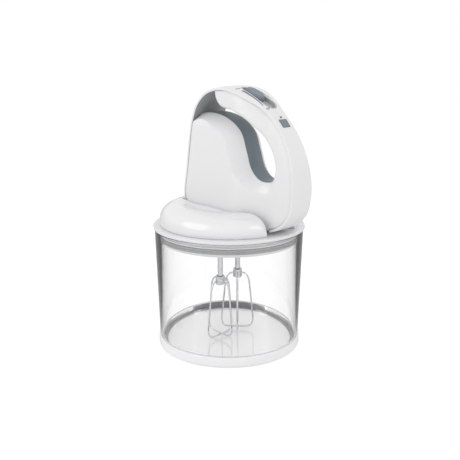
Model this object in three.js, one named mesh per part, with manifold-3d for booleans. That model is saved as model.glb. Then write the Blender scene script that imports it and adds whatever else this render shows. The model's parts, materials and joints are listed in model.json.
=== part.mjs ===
// A hand mixer docked on the lid of its clear mixing bowl. Millimetres, +Z up.
// The origin is on the bowl's axis, on the surface that the base stands on.
// The mixer's nose points to -X, its handle to +X, and the two beaters stand side by side in Y.
import * as THREE from 'three';
import { mergeVertices } from 'three/addons/utils/BufferGeometryUtils.js';
import Module from 'manifold-3d';

const wasm = await Module();
wasm.setup();

// ---------------------------------------------------------------- driving sizes

const GAP = 0.3; // clearance between neighbouring or resting pieces
const ROUND_SIDES = 40; // facets round the bowl, the lid and the base
const SMALL_SIDES = 12; // facets round shafts, bushes and screws

// base tray and its rubber foot
const FOOT_RADIUS = 74;
const FOOT_THICKNESS = 1.8;
const FOOT_STAND_OFF = 0.8; // how far the rubber stands below the tray
const TRAY_RADIUS = 81.2;
const TRAY_HEIGHT = 12.1; // top of the rim above the table
const TRAY_RIM_WALL = 4.4;
const TRAY_FLOOR_TOP = 4.0;

// bowl
const BOWL_TOP = 136.5; // rim above the table
const BOWL_RADIUS = 83.5; // outside, at the rim
const BOWL_TAPER = 3.7; // how much narrower the outside is just above the tray
const BOWL_WALL = 2.2;
const BOWL_CORNER = 7; // inside radius between wall and floor

// lid, its skirt and its seal
const LID_RADIUS = 85;
const LID_THICKNESS = 3.7;
const SKIRT_CLEARANCE = 3.9; // bowl's inner wall at the rim to the skirt
const SKIRT_WALL = 2;
const SKIRT_DEPTH = 15.2;
const SEAL_RIB = 1.4; // thickness of each rib beside the seal
const SEAL_HEIGHT = 5.4;
const SEAL_REACH = 0.5; // clearance from the seal's lips to the bowl's wall
const GUIDE_WALL = 2.6; // tubes under the lid that the beater shafts pass
const GUIDE_CLEARANCE = 1.2;

// dome on the lid, which cradles the mixer
const DOME_RADIUS = 77.6;
const DOME_HEIGHT = 21; // above the lid
const DOME_SIDE = 5.5; // upright part of its side
const DOME_WALL = 2.4;
const DOME_CROWN = 1.6; // rise from the shoulder to the middle
const DOME_REAR = 74; // where the dome ends, behind the bowl's axis
const DOME_REAR_TURN = 26; // length of its rounded rear end
const DOCK_REAR_HALF = 23.4; // half width of the pocket at the dome's rear end
const DOCK_CLEARANCE = 0.8; // pocket to mixer
const DOCK_COLLAR_WALL = 1.8;
const DOCK_COLLAR_RISE = 3.0; // collar round the mixer's nose, above the shoulder

// mixer body, in the mixer's own frame with z = 0 on its underside
const NOSE = 46; // how far the nose lies before the bowl's axis
const HEEL = 100.8; // how far the handle lies behind it
const BODY_HEIGHT = 149.6;
const HOOP_WALL = 2.4;
const BAND_CROWN = 0.7; // the outer band is this much higher along its middle
const HOOP_FRONT_HALF = 25.2; // half widths of the outer band: at the nose, at the heel, by the button
const HOOP_REAR_HALF = 16.5;
const HOOP_WAIST_HALF = 12.8;
const TAPER_START = 27; // x where the body starts to narrow
const TAPER_END = 71;
const WAIST_START = 45; // height where the back of the handle starts to narrow
const WAIST_END = 120;
const RIM_RECESS = 0.9; // side shells lie this far inside the band's rim
const RIM_EDGE = 0.8; // and this much further where they meet it
const POD_BULGE = 4.2; // the motor housing stands out of the band by this and less
const BULGE_START = 22; // x where that starts to fade, and where it has faded
const BULGE_END = 72;
const BULGE_TOP = 108; // and the same upwards
const BULGE_OVER = 130;
const ROUNDED_EDGE = 11; // the side shells round over this far inside the band
const SHELL_WALL = 2.1;
const PAD_RISE = 3.6; // thumb pad round the speed slot
const PAD_START = 2; // x where the pad starts to rise, where it is full, and where it falls away
const PAD_FULL = 42;
const PAD_FALL = 60;
const PAD_END = 76;
const STRIP_HALF = 11.2; // half width of the grey grip strip
const STRIP_THICKNESS = 1.6;
const JACK_X = 47; // charging socket in the underside
const JACK_RADIUS = 4.2;
const JACK_DEPTH = 9;
const BOSS_RADIUS = 3.6; // screw bosses of the side shells
const SCREW_RADIUS = 1.4;
const SCREW_HEAD = 2.8;
const SCREW_HEAD_DEPTH = 7; // heads sit this deep below the shell's side
const SCREW_REACH = 8; // into the other shell
const SCREW_PLACES = [[10.9, 8], [81.1, 10.7], [90.9, 42.8], [38.2, 91.8]].map(onSide);

// speed slot, slider and power button
const SLOT_X = 41.8;
const SLOT_LENGTH = 46;
const SLOT_WIDTH = 19;
const SLOT_WALL = 1.1;
const SLOT_DEPTH = 7;
const TRAY_RECESS = 0.6; // rim of the slot's tray below the thumb pad
const KNOB_LENGTH = 27;
const KNOB_RISE = 1.7; // above the thumb pad
const KNOB_EDGE = 2.2; // where the knob's side starts to round over, below the thumb pad
const KNOB_TRAVEL = 15.5;
const STEM_LENGTH = 6;
const STEM_WIDTH = 2.6;
const CARRIAGE_THICKNESS = 1.8;
const BOARD_THICKNESS = 1.3;
const BOARD_LENGTH = 42;
const BOARD_WIDTH = 14;
const BUTTON_X = 75.5;
const BUTTON_SIZE = 9.8;
const BUTTON_TRAVEL = 1.2;
const BUTTON_RISE = 0.7;
const LED_X = 70.3;
const LED_RADIUS = 1.1;

// drive
const AXLE_PITCH = 30; // between the two beaters
const DRIVE_HEIGHT = 27; // motor axis above the mixer's underside
const WHEEL_TEETH = 20;
const WORM_STARTS = 2;
const WHEEL_RADIUS = 10.2; // pitch radius
const WHEEL_WIDTH = 5.5;
const TOOTH_TIP = 0.8;
const TOOTH_ROOT = 1.15;
const TOOTH_BACKLASH = 0.24; // share of a tooth's pitch left open
const WORM_LENGTH = 12.4;
const SPINDLE_RADIUS = 4.6;
const SHAFT_RADIUS = 3; // beater shafts
const MOTOR_RADIUS = 13.8;
const MOTOR_LENGTH = 37.8;
const MOTOR_FRONT = 18.6;
const MOTOR_WALL = 1.2;
const MOTOR_SHAFT_RADIUS = 1.6;
const CELL_RADIUS = 9;
const CELL_LENGTH = 50;

// beaters
const SHAFT_REACH = 30.5; // above the mixer's underside
const COLLAR_TOP = 77.5;
const COLLAR_HEIGHT = 9.5;
const COLLAR_RADIUS = 5.35;
const WIRE_RADIUS = 0.95;
const LOOP_BOTTOM = 14.2; // lowest wire's centre above the table
const LOOP_TOP_HALF = 14.2;
const LOOP_BOTTOM_HALF = 18.6;

// ---------------------------------------------------------------- worked-out sizes

const TRAY_INNER = TRAY_RADIUS - TRAY_RIM_WALL;
const BOWL_FOOT_RADIUS = TRAY_INNER - GAP;
const BOWL_FOOT_BOTTOM = TRAY_FLOOR_TOP + GAP;
const BOWL_STEP = TRAY_HEIGHT + GAP;
const BOWL_FLOOR = BOWL_FOOT_BOTTOM + BOWL_WALL;
const BOWL_INNER = BOWL_RADIUS - BOWL_WALL;
const LID_BOTTOM = BOWL_TOP + GAP;
const LID_TOP = LID_BOTTOM + LID_THICKNESS;
const SKIRT_RADIUS = BOWL_INNER - SKIRT_CLEARANCE;
const MIXER_SEAT = LID_TOP + GAP;
const HALF_PITCH = AXLE_PITCH / 2;
const WORM_RADIUS = HALF_PITCH - WHEEL_RADIUS;
const TOOTH_PITCH = (2 * Math.PI * WHEEL_RADIUS) / WHEEL_TEETH;
const KNOB_WIDTH = SLOT_WIDTH - 2 * SLOT_WALL - 2 * GAP;

// ---------------------------------------------------------------- solid helpers

function volumeOf(position, index) {
  const a = new THREE.Vector3();
  const b = new THREE.Vector3();
  const c = new THREE.Vector3();
  let sum = 0;
  for (let i = 0; i < index.length; i += 3) {
    a.fromBufferAttribute(position, index[i]);
    b.fromBufferAttribute(position, index[i + 1]);
    c.fromBufferAttribute(position, index[i + 2]);
    sum += a.dot(b.cross(c));
  }
  return sum / 6;
}

// welds shared corners, drops triangles without area and turns every face outwards
function closed(geometry) {
  const bare = geometry.clone();
  bare.deleteAttribute('normal');
  bare.deleteAttribute('uv');
  const welded = mergeVertices(bare, 1e-4);
  const old = welded.index.array;
  const kept = [];
  for (let i = 0; i < old.length; i += 3) {
    const [a, b, c] = [old[i], old[i + 1], old[i + 2]];
    if (a !== b && b !== c && c !== a) kept.push(a, b, c);
  }
  if (volumeOf(welded.attributes.position, kept) < 0) kept.reverse();
  welded.setIndex(kept);
  return welded;
}

function toSolid(geometry) {
  const shape = closed(geometry);
  return new wasm.Manifold(new wasm.Mesh({
    numProp: 3,
    vertProperties: Float32Array.from(shape.attributes.position.array),
    triVerts: Uint32Array.from(shape.index.array),
  }));
}

function toGeometry(solid) {
  const mesh = solid.getMesh();
  const geometry = new THREE.BufferGeometry();
  geometry.setAttribute('position', new THREE.BufferAttribute(Float32Array.from(mesh.vertProperties), 3));
  geometry.setIndex(new THREE.BufferAttribute(Uint32Array.from(mesh.triVerts), 1));
  return geometry;
}

const combine = (how, first, others) =>
  toGeometry(others.reduce((solid, other) => solid[how](toSolid(other)), toSolid(first)));
const cut = (first, ...others) => combine('subtract', first, others);
const join = (first, ...others) => combine('add', first, others);
const common = (first, ...others) => combine('intersect', first, others);

// a profile of [radius, height] pairs turned about Z
function revolve(profile, sides = ROUND_SIDES) {
  const points = profile.map(([r, z]) => new THREE.Vector2(r, z));
  if (profile[0][0] > 0) points.push(points[0].clone());
  return closed(new THREE.LatheGeometry(points, sides).rotateX(Math.PI / 2));
}

const cylinder = (radius, bottom, top, sides = SMALL_SIDES) =>
  revolve([[0, bottom], [radius, bottom], [radius, top], [0, top]], sides);

const tube = (outer, inner, bottom, top, sides = SMALL_SIDES) =>
  revolve([[inner, bottom], [outer, bottom], [outer, top], [inner, top]], sides);

const alongX = (geometry) => geometry.rotateY(Math.PI / 2);
const alongY = (geometry) => geometry.rotateX(-Math.PI / 2);

function box(width, depth, height, x, y, z) {
  return new THREE.BoxGeometry(width, depth, height).translate(x, y, z);
}

// a closed outline of [x, y] pairs raised from one height to another
function prism(outline, bottom, top) {
  const shape = new THREE.Shape(outline.map(([x, y]) => new THREE.Vector2(x, y)));
  return closed(new THREE.ExtrudeGeometry(shape, { depth: top - bottom, bevelEnabled: false })
    .translate(0, 0, bottom));
}

// an outline in the X-Z plane raised from one y to another
function sidePrism(outline, from, to) {
  const shape = new THREE.Shape(outline.map(([x, z]) => new THREE.Vector2(x, z)));
  const raised = new THREE.ExtrudeGeometry(shape, { depth: to - from, bevelEnabled: false });
  return closed(raised.rotateX(Math.PI / 2).translate(0, to, 0));
}

// skins a row of rings, each a list of [x, y, z] with the same count, and caps both ends
function loft(rings) {
  const count = rings[0].length;
  const corners = [];
  const index = [];
  rings.forEach((ring) => ring.forEach((point) => corners.push(...point)));
  for (let r = 0; r + 1 < rings.length; r += 1) {
    for (let i = 0; i < count; i += 1) {
      const a = r * count + i;
      const b = r * count + ((i + 1) % count);
      index.push(a, b, b + count, a, b + count, a + count);
    }
  }
  const addCap = (ring, start, turned) => {
    const middle = [0, 1, 2].map((axis) => ring.reduce((sum, point) => sum + point[axis], 0) / count);
    const hub = corners.length / 3;
    corners.push(...middle);
    for (let i = 0; i < count; i += 1) {
      const a = start + i;
      const b = start + ((i + 1) % count);
      index.push(...(turned ? [hub, b, a] : [hub, a, b]));
    }
  };
  addCap(rings[0], 0, true);
  addCap(rings[rings.length - 1], (rings.length - 1) * count, false);
  const geometry = new THREE.BufferGeometry();
  geometry.setAttribute('position', new THREE.Float32BufferAttribute(corners, 3));
  geometry.setIndex(index);
  return closed(geometry);
}

// points of a rounded rectangle, anticlockwise
function roundedRectangle(length, width, radius, steps = 4) {
  const points = [];
  const centres = [[1, 1], [-1, 1], [-1, -1], [1, -1]];
  centres.forEach(([sx, sy], quarter) => {
    for (let i = 0; i <= steps; i += 1) {
      const angle = (quarter + i / steps) * (Math.PI / 2);
      points.push([
        sx * (length / 2 - radius) + radius * Math.cos(angle),
        sy * (width / 2 - radius) + radius * Math.sin(angle),
      ]);
    }
  });
  return points;
}

// a place in the mixer's side view, given in hundredths of its length and its height
function onSide([along, up]) {
  return [((NOSE + HEEL) * along) / 100 - NOSE, (BODY_HEIGHT * up) / 100];
}

const smooth = (t) => THREE.MathUtils.smoothstep(t, 0, 1);
const mix = THREE.MathUtils.lerp;

// points of a curve through a few [x, z] pairs
function splineThrough(pairs, count) {
  const curve = new THREE.CatmullRomCurve3(pairs.map(([x, z]) => new THREE.Vector3(x, 0, z)));
  return curve.getSpacedPoints(count).map((point) => [point.x, point.z]);
}

// a closed outline moved outwards by a distance, or inwards where it is negative
function offset(outline, distance) {
  const count = outline.length;
  const area = outline.reduce((sum, [x, z], i) => {
    const [nx, nz] = outline[(i + 1) % count];
    return sum + x * nz - nx * z;
  }, 0);
  const side = Math.sign(area);
  return outline.map((_, i) => {
    const before = outline[(i + count - 1) % count];
    const here = outline[i];
    const after = outline[(i + 1) % count];
    const first = new THREE.Vector2(here[0] - before[0], here[1] - before[1]).normalize();
    const second = new THREE.Vector2(after[0] - here[0], after[1] - here[1]).normalize();
    const bisector = first.clone().add(second).normalize();
    const stretch = Math.min(1 / Math.max(bisector.dot(first), 0.5), 2);
    return [
      here[0] + side * distance * stretch * bisector.y,
      here[1] - side * distance * stretch * bisector.x,
    ];
  });
}

// ---------------------------------------------------------------- base and bowl

function baseTray() {
  const bottom = FOOT_STAND_OFF;
  const recessTop = FOOT_THICKNESS + GAP;
  return revolve([
    [0, recessTop], [FOOT_RADIUS + GAP, recessTop], [FOOT_RADIUS + GAP, bottom],
    [TRAY_RADIUS - 1.8, bottom], [TRAY_RADIUS, bottom + 2], [TRAY_RADIUS, TRAY_HEIGHT - 1.2],
    [TRAY_RADIUS - 1.2, TRAY_HEIGHT], [TRAY_INNER, TRAY_HEIGHT], [TRAY_INNER, TRAY_FLOOR_TOP],
    [0, TRAY_FLOOR_TOP],
  ]);
}

function footPad() {
  return cylinder(FOOT_RADIUS, 0, FOOT_THICKNESS, ROUND_SIDES);
}

const bowlInnerAt = (z) => {
  const rise = (z - BOWL_STEP) / (BOWL_TOP - BOWL_STEP);
  return BOWL_INNER - BOWL_TAPER * (1 - rise);
};

function bowl() {
  const wallFoot = BOWL_FLOOR + BOWL_CORNER;
  const corner = [1, 2].map((i) => {
    const angle = (i / 3) * (Math.PI / 2);
    return [bowlInnerAt(wallFoot) - BOWL_CORNER * (1 - Math.sin(angle)),
      BOWL_FLOOR + BOWL_CORNER * (1 - Math.cos(angle))];
  });
  return revolve([
    [0, BOWL_FOOT_BOTTOM], [BOWL_FOOT_RADIUS - 1.4, BOWL_FOOT_BOTTOM],
    [BOWL_FOOT_RADIUS, BOWL_FOOT_BOTTOM + 1.4], [BOWL_FOOT_RADIUS, BOWL_STEP],
    [BOWL_RADIUS - BOWL_TAPER, BOWL_STEP], [BOWL_RADIUS, BOWL_TOP], [BOWL_INNER, BOWL_TOP],
    [bowlInnerAt(wallFoot), wallFoot], ...corner.reverse(),
    [bowlInnerAt(wallFoot) - BOWL_CORNER, BOWL_FLOOR], [0, BOWL_FLOOR],
  ]);
}

// ---------------------------------------------------------------- lid and dome

const SKIRT_BOTTOM = LID_BOTTOM - SKIRT_DEPTH;
const LOWER_RIB_TOP = SKIRT_BOTTOM + 2.2 + SEAL_RIB;
const UPPER_RIB_BOTTOM = LOWER_RIB_TOP + SEAL_HEIGHT;
const SEAL_RADIUS = bowlInnerAt(LOWER_RIB_TOP) - SEAL_REACH;
const RIB_RADIUS = SEAL_RADIUS - 1;

function lid() {
  const inner = SKIRT_RADIUS - SKIRT_WALL;
  const body = revolve([
    [0, LID_BOTTOM], [inner, LID_BOTTOM], [inner, SKIRT_BOTTOM], [SKIRT_RADIUS, SKIRT_BOTTOM],
    [SKIRT_RADIUS, LOWER_RIB_TOP - SEAL_RIB], [RIB_RADIUS, LOWER_RIB_TOP - SEAL_RIB],
    [RIB_RADIUS, LOWER_RIB_TOP], [SKIRT_RADIUS, LOWER_RIB_TOP], [SKIRT_RADIUS, UPPER_RIB_BOTTOM],
    [RIB_RADIUS, UPPER_RIB_BOTTOM], [RIB_RADIUS, UPPER_RIB_BOTTOM + SEAL_RIB],
    [SKIRT_RADIUS, UPPER_RIB_BOTTOM + SEAL_RIB], [SKIRT_RADIUS, LID_BOTTOM],
    [LID_RADIUS - 1.2, LID_BOTTOM], [LID_RADIUS, LID_BOTTOM + 1.2], [LID_RADIUS, LID_TOP - 1.4],
    [LID_RADIUS - 0.5, LID_TOP - 0.4], [LID_RADIUS - 1.6, LID_TOP], [0, LID_TOP],
  ]);
  const sides = [-HALF_PITCH, HALF_PITCH];
  const hole = SHAFT_RADIUS + GUIDE_CLEARANCE;
  const guides = sides.map((y) =>
    cylinder(hole + GUIDE_WALL, SKIRT_BOTTOM + 4, LID_BOTTOM + 1).translate(0, y, 0));
  const holes = sides.map((y) => cylinder(hole, SKIRT_BOTTOM, LID_TOP + 1).translate(0, y, 0));
  return cut(join(body, ...guides), ...holes);
}

function lidSeal() {
  const bottom = LOWER_RIB_TOP + GAP;
  const top = UPPER_RIB_BOTTOM - GAP;
  const inner = SKIRT_RADIUS + GAP;
  const middle = (bottom + top) / 2;
  return revolve([
    [inner, bottom], [SEAL_RADIUS - 0.9, bottom], [SEAL_RADIUS, bottom + 0.9],
    [SEAL_RADIUS - 1.1, middle], [SEAL_RADIUS, top - 0.9], [SEAL_RADIUS - 0.9, top], [inner, top],
  ]);
}

// the dome's half profile, a wall's thickness smaller where inset is positive
function domeProfile(inset, steps) {
  const base = LID_TOP + GAP;
  const radius = DOME_RADIUS - inset;
  const top = base + DOME_HEIGHT - DOME_CROWN - inset;
  const side = base + DOME_SIDE;
  const shoulder = top - side;
  const points = [[0, base], [radius, base]];
  for (let i = 0; i <= steps; i += 1) {
    const angle = (i / steps) * (Math.PI / 2);
    points.push([radius - shoulder * 1.2 * (1 - Math.cos(angle)), side + shoulder * Math.sin(angle)]);
  }
  points.push([0, top + DOME_CROWN]);
  return points;
}

// plan of the pocket that the mixer drops into, grown by a margin; it narrows towards the rear
function pocketPlan(margin) {
  const frontHalf = HOOP_FRONT_HALF - RIM_RECESS + POD_BULGE + DOCK_CLEARANCE;
  const front = -NOSE - DOCK_CLEARANCE - margin;
  const radius = 5 + margin;
  const side = [0, 0.25, 0.5, 0.75, 1].map((share) =>
    [mix(TAPER_START, DOME_REAR, share), mix(frontHalf, DOCK_REAR_HALF, smooth(share)) + margin]);
  const corner = [0, 1, 2, 3].map((i) => {
    const angle = (i / 3) * (Math.PI / 2);
    return [front + radius * (1 - Math.cos(angle)), frontHalf + margin - radius * (1 - Math.sin(angle))];
  });
  const half = [...corner, ...side, [DOME_REAR + 40, DOCK_REAR_HALF + margin]];
  return [...half, ...half.map(([x, y]) => [x, -y]).reverse()];
}

// side view of the dome with its rounded rear end, a wall's thickness smaller where inset is positive
function domeSideView(inset) {
  const rear = DOME_REAR - inset;
  const base = LID_TOP + GAP;
  const height = DOME_HEIGHT - inset;
  const turn = [0, 1, 2, 3, 4, 5].map((i) => {
    const angle = (i / 5) * (Math.PI / 2);
    return [rear - DOME_REAR_TURN * (1 - Math.cos(angle)), base + height * Math.sin(angle)];
  });
  const front = -DOME_RADIUS - 10;
  return [[front, base - 5], [rear, base - 5], ...turn, [front, base + height]];
}

function dome() {
  const base = LID_TOP + GAP;
  const top = base + DOME_HEIGHT;
  const far = DOME_RADIUS + 10;
  const outer = common(revolve(domeProfile(0, 6)), sidePrism(domeSideView(0), -far, far));
  const hollow = domeProfile(DOME_WALL, 3);
  hollow[0][1] -= 1;
  hollow[1][1] -= 1;
  const inner = common(revolve(hollow), sidePrism(domeSideView(DOME_WALL), -far, far));
  const collarTop = top + DOCK_COLLAR_RISE - DOME_CROWN;
  const collar = common(
    prism(pocketPlan(DOCK_COLLAR_WALL), base, collarTop),
    sidePrism([
      [-far, base - 1], [DOME_REAR - 4, base - 1], [DOME_REAR - 4, base + 4],
      [DOME_REAR - 24, top - 4], [30, top - 1], [-10, collarTop - 1], [-far, collarTop],
    ], -far, far),
  );
  return cut(join(cut(outer, inner), collar), prism(pocketPlan(0), base - 2, top + 20));
}

// ---------------------------------------------------------------- mixer outlines

// side view of the mixer from the nose's foot, over the top and down to the heel; like the other
// outlines it is written in hundredths of the body's length and height
const bodyCurve = splineThrough([
  [8.2, 0], [3.1, 6], [0.5, 14.7], [0, 24.1], [2.7, 41.4], [5.9, 62.8], [8.6, 75.9], [14, 88.2],
  [23.8, 96.9], [37.5, 100], [49.7, 98.2], [58.6, 94.8], [68.9, 89.2], [80.1, 79.7], [88.5, 69.5],
  [94.8, 57.2], [98.7, 43.4], [99.8, 30.1], [96.5, 14.2], [87.9, 5.5], [73.6, 0],
].map(onSide), 42);

const FLAT_FROM = bodyCurve[0][0];
const FLAT_TO = bodyCurve[bodyCurve.length - 1][0];
const flatSteps = [1, 2, 3, 4].map((i) => [mix(FLAT_TO, FLAT_FROM, i / 5), 0]);
const bodyOutline = [...bodyCurve, ...flatSteps];

// half width of the outer band at [x, z]
function bandHalf(x, z) {
  const waist = smooth((z - WAIST_START) / (WAIST_END - WAIST_START));
  const rear = mix(HOOP_REAR_HALF, HOOP_WAIST_HALF, waist);
  return mix(HOOP_FRONT_HALF, rear, smooth((x - TAPER_START) / (TAPER_END - TAPER_START)));
}

// how far the side stands beyond the band's rim at [x, z]
function bulgeAt(x, z) {
  const rearwards = 1 - smooth((x - BULGE_START) / (BULGE_END - BULGE_START));
  const upwards = 1 - smooth((z - BULGE_TOP) / (BULGE_OVER - BULGE_TOP));
  return POD_BULGE * rearwards * upwards;
}

// finger opening: its edge at the middle, on the grip strip and the handle's inside, and on the side
const openingMiddle = [
  [-10.9, 74.9], [10.2, 80.6], [22.5, 81.8], [38.1, 78.1], [50.1, 69.5], [55.4, 56.5], [60.3, 43.7],
  [68.5, 37], [79, 37.4], [82.6, 44.5], [80.4, 55.1], [72.5, 67], [64, 73.5], [56.2, 78.3],
  [45.6, 83.2], [36.1, 85.3], [31.6, 90.5], [28.6, 100.3], [25.2, 111], [-10.9, 111],
].map(onSide);
const openingSide = [
  [-10.9, 64.2], [10.2, 74.5], [21.1, 77.7], [33.4, 72.5], [43.6, 64.8], [47.5, 53.8], [53.1, 40.4],
  [65.4, 30.5], [81.1, 30.9], [85.1, 44.1], [82.6, 56.5], [74.9, 68.5], [66.8, 75.3], [58.9, 80.9],
  [47.7, 85.6], [38.5, 88], [34.5, 92.9], [32.3, 100.3], [28.6, 111], [-10.9, 111],
].map(onSide);
const OPENING_POINTS = 40;
const STRIP_FROM = 1.5; // the grip strip runs between these points of the opening's middle edge
const STRIP_TO = 8;

function closedSpline(pairs, count) {
  const curve = new THREE.CatmullRomCurve3(
    pairs.map(([x, z]) => new THREE.Vector3(x, 0, z)), true, 'centripetal');
  const points = [];
  for (let i = 0; i < count; i += 1) points.push(curve.getPoint(i / count));
  return points.map((point) => [point.x, point.z]);
}

const sideHalfAt = (x, z) => bandHalf(x, z) - RIM_RECESS + bulgeAt(x, z);

// the opening as a solid with flared, rounded mouths; wall makes it larger all round
function openingCutter(wall, shares = [1, 0.75, 0.5, 0.25, 0], every = 1) {
  const steepest = 0.8; // the rounding stops short of flat, so it crosses the side cleanly
  const squared = (value) => value ** 0.75; // a little squarer than a quarter of a circle
  const edge = (pairs) => offset(closedSpline(pairs, OPENING_POINTS), wall).filter((_, i) => i % every === 0);
  const middle = edge(openingMiddle);
  const side = edge(openingSide);
  const ring = (share, sign) => middle.map(([x, z], i) => {
    const angle = share * steepest * (Math.PI / 2);
    const last = steepest * (Math.PI / 2);
    const drift = (1 - squared(Math.cos(angle))) / (1 - squared(Math.cos(last)));
    const px = mix(x, side[i][0], drift);
    const pz = mix(z, side[i][1], drift);
    const full = sideHalfAt(side[i][0], side[i][1]) + 0.4;
    const start = Math.min(STRIP_HALF + GAP, full * 0.55);
    return [px, sign * mix(start, full, squared(Math.sin(angle)) / squared(Math.sin(last))), pz];
  });
  const end = (sign) => side.map(([x, z]) => [x, sign * (HOOP_FRONT_HALF + 20), z]);
  return loft([
    end(-1), ...shares.map((share) => ring(share, -1)),
    ...[...shares].reverse().map((share) => ring(share, 1)), end(1),
  ]);
}

// one side's block: flat on the parting plane, domed outside, with its outline inside the band
function sideBlock(sign, inset, wall, parting, shares, every = 1) {
  const outline = offset(bodyOutline, -inset).filter((_, i) => i % every === 0);
  const centre = onSide([49, 48]);
  const rings = [outline.map(([x, z]) => [x, sign * parting, z])];
  shares.forEach((share) => {
    rings.push(outline.map(([x, z]) => {
      const px = mix(centre[0], x, share);
      const pz = mix(centre[1], z, share);
      const distance = (1 - share) * Math.hypot(x - centre[0], z - centre[1]);
      const rise = Math.sin(Math.min(distance / ROUNDED_EDGE, 1) * (Math.PI / 2));
      const edge = bandHalf(px, pz) - RIM_RECESS - RIM_EDGE;
      const half = mix(edge, sideHalfAt(px, pz), rise);
      return [px, sign * (half - wall), pz];
    }));
  });
  return loft(rings);
}

// ---------------------------------------------------------------- places on the handle's top

// point and directions on the mixer's outline near x, on the handle's top or back
function outlineFrame(x) {
  const from = bodyCurve.findIndex(([px, pz]) => px > x && pz > BODY_HEIGHT / 2);
  const [ax, az] = bodyCurve[from - 1];
  const [bx, bz] = bodyCurve[from];
  const share = (x - ax) / (bx - ax);
  const along = new THREE.Vector3(bx - ax, 0, bz - az).normalize();
  const out = new THREE.Vector3(-along.z, 0, along.x);
  return { point: new THREE.Vector3(x, 0, mix(az, bz, share)), along, out };
}

// thumb pad: how far the band's middle is raised at x
const crownAt = (x) => PAD_RISE * smooth((x - PAD_START) / (PAD_FULL - PAD_START))
  * (1 - smooth((x - PAD_FALL) / (PAD_END - PAD_FALL)));

// matrix that puts a shape, drawn with z outwards, on the band at x with its x along the band
function onBand(x, lift = 0) {
  const { point, along, out } = outlineFrame(x);
  const across = new THREE.Vector3().crossVectors(out, along);
  const place = new THREE.Matrix4().makeBasis(along, across, out);
  return place.setPosition(point.clone().addScaledVector(out, lift));
}

const slotMatrix = onBand(SLOT_X, crownAt(SLOT_X));
const buttonMatrix = onBand(BUTTON_X);
const ledMatrix = onBand(LED_X, crownAt(LED_X));
const stadium = (length, width) => roundedRectangle(length, width, width / 2 - 0.01, 4);
const KNOB_OFFSET = -(SLOT_LENGTH / 2 - SLOT_WALL - GAP - KNOB_LENGTH / 2);
const TRAY_BOTTOM = -SLOT_DEPTH - 1.2;
const BOARD_TOP = TRAY_BOTTOM - GAP - CARRIAGE_THICKNESS - GAP;

// ---------------------------------------------------------------- mixer shells

// stations round the band: a point, the way out of the body there, half width and crown
const bandStations = bodyCurve.map((point, i) => {
  const before = bodyCurve[Math.max(i - 1, 0)];
  const after = bodyCurve[Math.min(i + 1, bodyCurve.length - 1)];
  const along = new THREE.Vector2(after[0] - before[0], after[1] - before[1]).normalize();
  const crown = BAND_CROWN + (point[1] > BODY_HEIGHT / 2 ? crownAt(point[0]) : 0);
  return { point, out: [-along.y, along.x], half: bandHalf(...point), crown };
});

// a ring of [share of the half width, level] corners, which follow the crown
function bandRing({ point, out, half, crown }, corners) {
  return corners.map(([share, level]) => {
    const lift = level + crown * (1 - share ** 4);
    return [point[0] + out[0] * lift, share * half, point[1] + out[1] * lift];
  });
}

const BAND_SECTION = [
  [-1, -1.2], [-0.96, 0], [-0.8, 0], [-0.5, 0], [0, 0], [0.5, 0], [0.8, 0], [0.96, 0], [1, -1.2],
  [0.96, -HOOP_WALL], [0.5, -HOOP_WALL], [0, -HOOP_WALL], [-0.5, -HOOP_WALL], [-0.96, -HOOP_WALL],
];

function outerBand() {
  const rings = bandStations.slice(1, -1).map((station) => bandRing(station, BAND_SECTION));
  const slotCut = prism(stadium(SLOT_LENGTH + GAP * 2, SLOT_WIDTH + GAP * 2), -20, 20)
    .applyMatrix4(slotMatrix);
  const buttonCut = prism(roundedRectangle(BUTTON_SIZE + 0.6, BUTTON_SIZE + 0.6, 1), -8, 8)
    .applyMatrix4(buttonMatrix);
  const ledCut = cylinder(LED_RADIUS + GAP, -8, 8, 12).applyMatrix4(ledMatrix);
  return cut(loft(rings), slotCut, buttonCut, ledCut);
}

// the space under the band on the handle's top, a recess below its outer face
function underBand(recess) {
  const deep = recess + SLOT_DEPTH * 4;
  const section = [[-0.96, -recess], [-0.8, -recess], [-0.5, -recess], [0, -recess], [0.5, -recess],
    [0.8, -recess], [0.96, -recess], [0.5, -deep], [-0.5, -deep]];
  const onTop = bandStations.filter(({ point: [x, z] }) => z > BODY_HEIGHT / 2 && x > PAD_START);
  return loft(onTop.map((station) => bandRing(station, section)));
}

function stripRings(inset, extra) {
  const whole = closedSpline(openingMiddle, OPENING_POINTS);
  const inner = offset(whole, inset + STRIP_THICKNESS + extra);
  const outer = offset(whole, inset - extra);
  const first = Math.round((OPENING_POINTS * STRIP_FROM) / openingMiddle.length);
  const last = Math.round((OPENING_POINTS * STRIP_TO) / openingMiddle.length);
  const half = STRIP_HALF + extra;
  const rings = [];
  for (let i = first - (extra ? 1 : 0); i <= last + (extra ? 1 : 0); i += 1) {
    rings.push([
      [inner[i][0], -half, inner[i][1]], [outer[i][0], -half, outer[i][1]],
      [outer[i][0], half, outer[i][1]], [inner[i][0], half, inner[i][1]],
    ]);
  }
  return rings;
}

function gripStrip() {
  return loft(stripRings(0, 0));
}

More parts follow.
